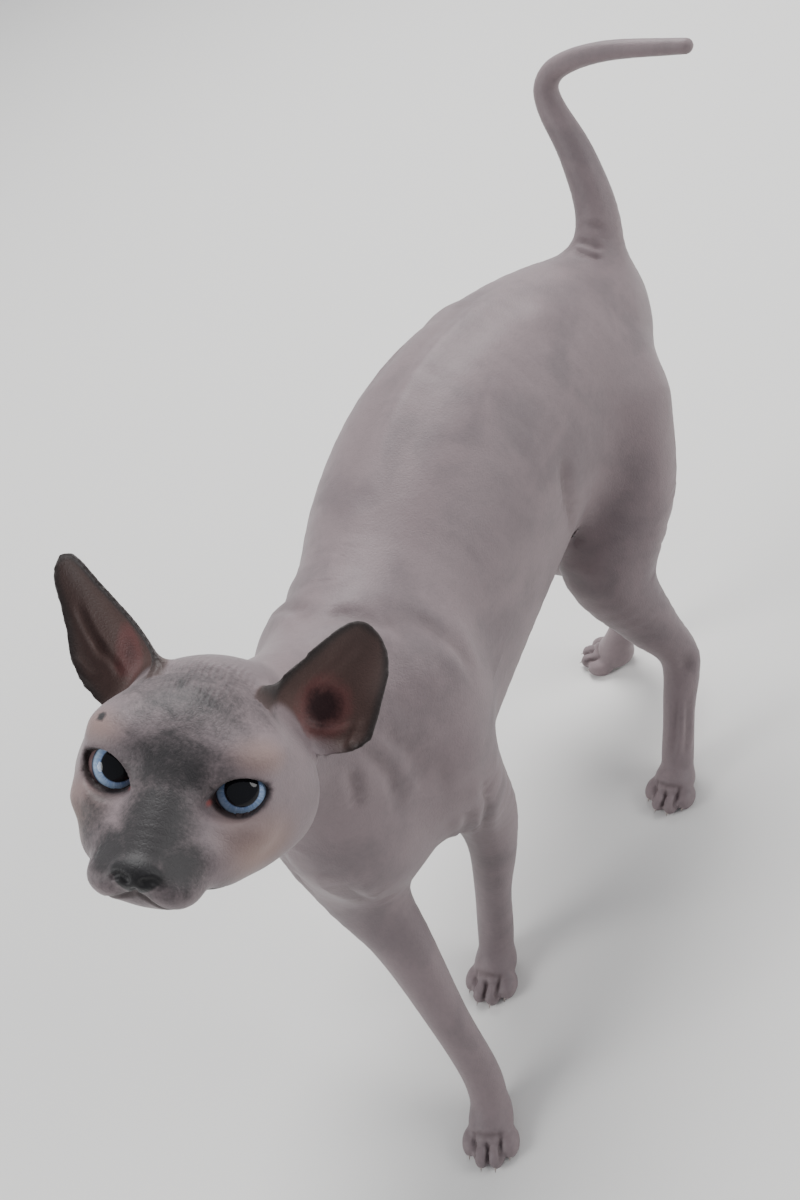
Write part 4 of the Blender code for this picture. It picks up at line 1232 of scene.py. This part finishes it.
def skin_material(colours):
    """Bare skin: its own colour, then each marking and the painted shade of the creases and the ears' cups,
    where its mask says.
    """
    made, tree, shader = new_material("bare_skin")
    place = tree.nodes.new("ShaderNodeTexCoord").outputs["Object"]
    mottled = add_group(tree, mottle_group())
    tree.links.new(place, mottled.inputs["Place"])
    mottled.inputs["Colour"].default_value = linear(colours.skin)
    mottled.inputs["Blotch Colour"].default_value = linear(colours.blotch)
    mottled.inputs["Amount"].default_value = 0.6
    colour = mottled.outputs[0]
    speckle = speckle_group()
    for mask, tint in SKIN_LAYERS:
        level = read_mask(tree, mask)
        if mask in SPECKLED_LAYERS:
            broken = add_group(tree, speckle)
            tree.links.new(place, broken.inputs["Place"])
            tree.links.new(level, broken.inputs["Mask"])
            level = broken.outputs[0]
        colour = mix_colours(tree, level, colour, linear(getattr(colours, tint)))
    tree.links.new(colour, shader.inputs["Base Color"])
    read = tree.nodes.new("ShaderNodeAttribute")
    read.attribute_name = "head_place"
    grain = add_group(tree, grain_group())
    tree.links.new(place, grain.inputs["Place"])
    wrinkles = add_group(tree, wrinkle_group())
    tree.links.new(read.outputs["Vector"], wrinkles.inputs["Place"])
    tree.links.new(combine(tree, "MAXIMUM", read_mask(tree, "forehead"), read_mask(tree, "muzzle_lines")),
                   wrinkles.inputs["Mask"])
    coarse = tree.nodes.new("ShaderNodeBump")
    coarse.inputs["Strength"].default_value = 0.7
    coarse.inputs["Distance"].default_value = 0.0007
    tree.links.new(wrinkles.outputs[0], coarse.inputs["Height"])
    bump = tree.nodes.new("ShaderNodeBump")
    bump.inputs["Strength"].default_value = 0.35
    bump.inputs["Distance"].default_value = 0.0004
    tree.links.new(grain.outputs[0], bump.inputs["Height"])
    tree.links.new(coarse.outputs[0], bump.inputs["Normal"])
    tree.links.new(bump.outputs[0], shader.inputs["Normal"])
    shader.inputs["Roughness"].default_value = 0.55
    shader.inputs["Specular IOR Level"].default_value = 0.35
    shader.inputs["Sheen Weight"].default_value = 0.12
    shader.inputs["Sheen Roughness"].default_value = 0.45
    return made


def finish(item, slot, *nodes):
    """Smooth shading, and what the finished piece rides on and replaces. Its slot is not used."""
    make_active(item)
    bpy.ops.object.shade_smooth()
    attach(item, "root")
    if nodes:
        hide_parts(*nodes)


def shift_points(item):
    """Carries a piece from the cat's own frame to the model's."""
    place_coordinates(item.data, coordinates(item.data) + np.array(MODEL_SHIFT))


FLESH = (
    "head", "ear_left", "ear_right", "neck", "chest", "abdomen", "tail_root", "tail_middle", "tail_tip",
    "foreleg_left", "foreleg_right", "forepaw_left", "forepaw_right", "thigh_left", "thigh_right",
    "shank_left", "shank_right", "hindfoot_left", "hindfoot_right",
)


class CatSizes(bpy.types.PropertyGroup):
    """Sizes of the cat that a user would change."""

    eye_radius: bpy.props.FloatProperty(
        name="Eye Radius", description="Radius of each eyeball", default=EYE_RADIUS,
        subtype="DISTANCE", unit="LENGTH",
    )
    iris_radius: bpy.props.FloatProperty(
        name="Iris Radius", description="Radius of the coloured ring of each eye", default=IRIS_RADIUS,
        subtype="DISTANCE", unit="LENGTH",
    )
    pupil_radius: bpy.props.FloatProperty(
        name="Pupil Radius", description="Radius of each pupil", default=PUPIL_RADIUS,
        subtype="DISTANCE", unit="LENGTH",
    )
    lamp_power: bpy.props.FloatProperty(
        name="Lamp Power", description="Power of the main lamp of the studio", default=LAMP_POWER,
        subtype="POWER", unit="POWER",
    )


def colour_property(name, description, default):
    return bpy.props.FloatVectorProperty(
        name=name, description=description, default=default, size=3, subtype="COLOR", min=0.0, max=1.0
    )


class CatColours(bpy.types.PropertyGroup):
    """Colours of the cat, of the shade painted into its creases and ear cups, and of the floor."""

    skin: colour_property("Skin", "Bare skin of the body", (0.225, 0.175, 0.182))
    blotch: colour_property("Blotches", "Darker patches in the skin", (0.150, 0.120, 0.127))
    cheek: colour_property("Cheeks", "Warmer skin of the cheeks and brows", (0.270, 0.172, 0.142))
    mask: colour_property("Mask", "Dark bridge of the nose and middle of the forehead", (0.028, 0.025, 0.026))
    ear: colour_property("Ears", "Thin skin of the ears", (0.095, 0.052, 0.044))
    ear_rim: colour_property("Ear Rims", "Dark rims of the ears", (0.022, 0.015, 0.014))
    ear_red: colour_property("Ear Cups", "Pink and red inside the ears", (0.140, 0.052, 0.048))
    # Painted shade in the depths of the ears' cups, near black.
    ear_cup_shade: colour_property("Ear Cup Shade", "Deepest red of the cups", (0.022, 0.004, 0.005))
    # Painted shade in the bottoms of the folds and between the toes.
    crease_shade: colour_property("Creases", "Bottoms of the folds and between the toes", (0.070, 0.045, 0.046))
    pad: colour_property("Paw Pads", "Undersides of the paws", (0.16, 0.11, 0.12))
    lip: colour_property("Lips", "Line of the mouth", (0.09, 0.07, 0.07))
    lid: colour_property("Lids", "Edges of the eyelids", (0.045, 0.030, 0.030))
    nose: colour_property("Nose", "Leather of the nose", (0.010, 0.009, 0.010))
    iris: colour_property("Iris", "Pale ring of the eye", (0.32, 0.44, 0.62))
    iris_inner: colour_property("Iris Middle", "Ring of the eye next to the pupil", (0.16, 0.24, 0.42))
    tear: colour_property("Eye Corners", "Inner corners of the eyes", (0.30, 0.075, 0.070))
    claw: colour_property("Claws", "Horn of the claws", (0.50, 0.42, 0.38))
    floor: colour_property("Floor", "Floor of the studio", (0.76, 0.75, 0.73))


class CAT_OT_skin(bpy.types.Operator):
    """Builds the skin, from the nose to the tip of the tail, with its creases and markings"""

    bl_idname = "cat.skin"
    bl_label = "Skin"

    def execute(self, context):
        item = skin_shape()
        fold_skin(item)
        mark_skin(item)
        shift_points(item)
        item.data.materials.append(skin_material(context.scene.cat_colours))
        finish(item, "skin", *FLESH)
        return {"FINISHED"}


def eye_material(colours, sizes):
    """A wet eyeball: a ring of colour round a dark pupil, by the angle from the way it looks."""
    made, tree, shader = new_material("eyeball")
    read = tree.nodes.new("ShaderNodeAttribute")
    read.attribute_name = "gaze"
    split = tree.nodes.new("ShaderNodeSeparateXYZ")
    tree.links.new(read.outputs["Vector"], split.inputs[0])
    across, upward, _ = split.outputs
    radius = combine(tree, "SQRT", combine(tree, "ADD", combine(tree, "MULTIPLY", across, across),
                                           combine(tree, "MULTIPLY", upward, upward)))
    angle = combine(tree, "ARCTAN2", upward, across)
    spokes = tree.nodes.new("ShaderNodeCombineXYZ")
    tree.links.new(combine(tree, "COSINE", angle), spokes.inputs[0])
    tree.links.new(combine(tree, "SINE", angle), spokes.inputs[1])
    tree.links.new(combine(tree, "MULTIPLY", radius, 30.0), spokes.inputs[2])
    threads = noise(tree, spokes.outputs[0], 9.0, 4.0, 0.6)
    iris, pupil = sizes.iris_radius, sizes.pupil_radius
    ring = ramp(tree, radius, pupil, iris * 0.93)
    colour = mix_colours(tree, ring, linear(colours.iris_inner), linear(colours.iris))
    colour = mix_colours(tree, combine(tree, "MULTIPLY", ramp(tree, threads, 0.40, 0.72), 0.35), colour,
                         IRIS_THREADS)
    colour = mix_colours(tree, ramp(tree, radius, iris * 0.90, iris), colour, IRIS_EDGE)
    colour = mix_colours(tree, ramp(tree, radius, iris * 0.99, iris * 1.04), colour, EYE_WHITE)
    edge = combine(tree, "SUBTRACT", 1.0, ramp(tree, radius, pupil * 0.95, pupil * 1.06))
    colour = mix_colours(tree, edge, colour, PUPIL_COLOUR)
    tree.links.new(colour, shader.inputs["Base Color"])
    shader.inputs["Roughness"].default_value = 0.04
    shader.inputs["IOR"].default_value = 1.38
    return made


def add_eye(side, sign, sizes, made_of):
    """An eyeball with a bulge over its iris, turned the way the cat looks."""
    centre = from_head(eye_centre(sign))
    look = gaze_axes(centre)
    deselect_all()
    bpy.ops.mesh.primitive_uv_sphere_add(segments=64, ring_count=48, radius=sizes.eye_radius)
    item = bpy.context.object
    item.name = "eyeball_" + side
    item.data.name = item.name
    points = coordinates(item.data)
    out = points[:, 2] / sizes.eye_radius
    bulge = soft(1.0 - out, 0.0, 0.46) * CORNEA_BULGE
    placed = points * (1.0 + bulge / sizes.eye_radius)[:, None]
    gaze = item.data.attributes.new("gaze", "FLOAT_VECTOR", "POINT")
    gaze.data.foreach_set("vector", points.astype(np.float32).ravel())
    place_coordinates(item.data, placed @ look.T + centre)
    item.data.materials.append(made_of)
    shift_points(item)
    finish(item, "eye", "eye_" + side)


def gaze_axes(centre):
    """Across, up and forward of an eye that looks at the target."""
    forward = np.array(GAZE_TARGET) - centre
    forward = forward / np.linalg.norm(forward)
    across = np.cross((0.0, 0.0, 1.0), forward)
    across = across / np.linalg.norm(across)
    return np.column_stack((across, np.cross(forward, across), forward))


class CAT_OT_eyes(bpy.types.Operator):
    """Builds both eyeballs"""

    bl_idname = "cat.eyes"
    bl_label = "Eyes"

    def execute(self, context):
        sizes, colours = context.scene.cat_sizes, context.scene.cat_colours
        made_of = eye_material(colours, sizes)
        for side, sign in (("left", 1.0), ("right", -1.0)):
            add_eye(side, sign, sizes, made_of)
        return {"FINISHED"}


def claw_material(colours):
    made, tree, shader = new_material("claw_horn")
    place = tree.nodes.new("ShaderNodeTexCoord").outputs["Object"]
    streaks = ramp(tree, noise(tree, place, 900.0, 3.0, 0.6), 0.3, 0.8)
    horn = mix_colours(tree, streaks, linear(colours.claw), linear(colours.blotch))
    tree.links.new(horn, shader.inputs["Base Color"])
    shader.inputs["Roughness"].default_value = 0.35
    return made


class CAT_OT_claws(bpy.types.Operator):
    """Builds the claws of all four paws, each mostly drawn in"""

    bl_idname = "cat.claws"
    bl_label = "Claws"

    def execute(self, context):
        colours = context.scene.cat_colours
        made = []
        for paw in PAWS:
            for centre, half, turn in toe_balls(paw)[:-1]:
                deselect_all()
                bpy.ops.mesh.primitive_cone_add(vertices=16, radius1=CLAW_RADIUS, depth=CLAW_LENGTH)
                item = bpy.context.object
                lean = Matrix.Rotation(math.radians(CLAW_LEAN_DEG), 3, "X")
                place = centre + turn @ np.array((0.0, -half[1] * CLAW_AHEAD, CLAW_LIFT))
                place_coordinates(item.data, coordinates(item.data) @ (turn @ np.array(lean)).T + place)
                made.append(item)
        deselect_all()
        for item in made:
            item.select_set(True)
        bpy.context.view_layer.objects.active = made[0]
        bpy.ops.object.join()
        claws = bpy.context.object
        claws.name = "claws"
        claws.data.name = "claws"
        claws.data.materials.append(claw_material(colours))
        shift_points(claws)
        finish(claws, "skin")
        return {"FINISHED"}


def floor_material(colours):
    made, tree, shader = new_material("floor_paint")
    place = tree.nodes.new("ShaderNodeTexCoord").outputs["Object"]
    wear = combine(tree, "MULTIPLY", ramp(tree, noise(tree, place, 3.0, 5.0, 0.6), 0.3, 0.8), 0.06)
    tone = mix_colours(tree, wear, linear(colours.floor), (0.70, 0.69, 0.68, 1.0))
    tree.links.new(tone, shader.inputs["Base Color"])
    shader.inputs["Roughness"].default_value = 0.75
    return made


def add_lamp(name, place, target, size, power):
    lamp = bpy.data.lights.new(name, "AREA")
    lamp.shape = "DISK"
    lamp.size = size
    lamp.energy = power
    made = bpy.data.objects.new(name, lamp)
    bpy.context.collection.objects.link(made)
    made.location = place
    made.rotation_euler = (Vector(target) - Vector(place)).to_track_quat("-Z", "Y").to_euler()


class CAT_OT_studio(bpy.types.Operator):
    """Adds a plain pale floor, soft lamps, a pale surround and the camera"""

    bl_idname = "cat.studio"
    bl_label = "Studio"

    def execute(self, context):
        sizes, colours = context.scene.cat_sizes, context.scene.cat_colours
        deselect_all()
        bpy.ops.mesh.primitive_plane_add(size=FLOOR_SIZE, location=(0.0, 0.0, 0.0))
        floor = bpy.context.object
        floor.name = "floor"
        floor.data.materials.append(floor_material(colours))
        for name, (place, size, share) in LAMPS.items():
            add_lamp(name, place, LAMP_TARGET, size, sizes.lamp_power * share)
        world = bpy.data.worlds.new("pale_surround")
        world.use_nodes = True
        background = world.node_tree.nodes["Background"]
        background.inputs["Color"].default_value = SURROUND_COLOUR
        background.inputs["Strength"].default_value = SURROUND_STRENGTH
        context.scene.world = world
        view = bpy.data.cameras.new("photo_camera")
        view.lens = CAMERA_LENS_MM
        view.sensor_width = CAMERA_SENSOR_MM
        view.sensor_fit = "AUTO"
        view.clip_start = 0.01
        made = bpy.data.objects.new("photo_camera", view)
        context.collection.objects.link(made)
        made.location = CAMERA_PLACE
        made.rotation_euler = [math.radians(angle) for angle in CAMERA_TURN_DEG]
        context.scene.camera = made
        return {"FINISHED"}


class CAT_PT_panel(bpy.types.Panel):
    """The cat's sizes, colours and pieces"""

    bl_idname = "CAT_PT_panel"
    bl_label = "Sphynx Cat"
    bl_space_type = "VIEW_3D"
    bl_region_type = "UI"
    bl_category = "Sphynx Cat"

    def draw(self, context):
        for group in (context.scene.cat_sizes, context.scene.cat_colours):
            column = self.layout.column()
            for name in group.__annotations__:
                column.prop(group, name)
        for operator in OPERATORS:
            self.layout.operator(operator.bl_idname)


OPERATORS = (CAT_OT_skin, CAT_OT_eyes, CAT_OT_claws, CAT_OT_studio)
CLASSES = (CatSizes, CatColours, *OPERATORS, CAT_PT_panel)


def register():
    for item in CLASSES:
        bpy.utils.register_class(item)
    bpy.types.Scene.cat_sizes = bpy.props.PointerProperty(type=CatSizes)
    bpy.types.Scene.cat_colours = bpy.props.PointerProperty(type=CatColours)


def unregister():
    del bpy.types.Scene.cat_colours
    del bpy.types.Scene.cat_sizes
    for item in reversed(CLASSES):
        bpy.utils.unregister_class(item)


def main():
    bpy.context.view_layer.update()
    register()
    bpy.ops.cat.skin()
    bpy.ops.cat.eyes()
    bpy.ops.cat.claws()
    bpy.ops.cat.studio()


if __name__ == "__main__":
    main()
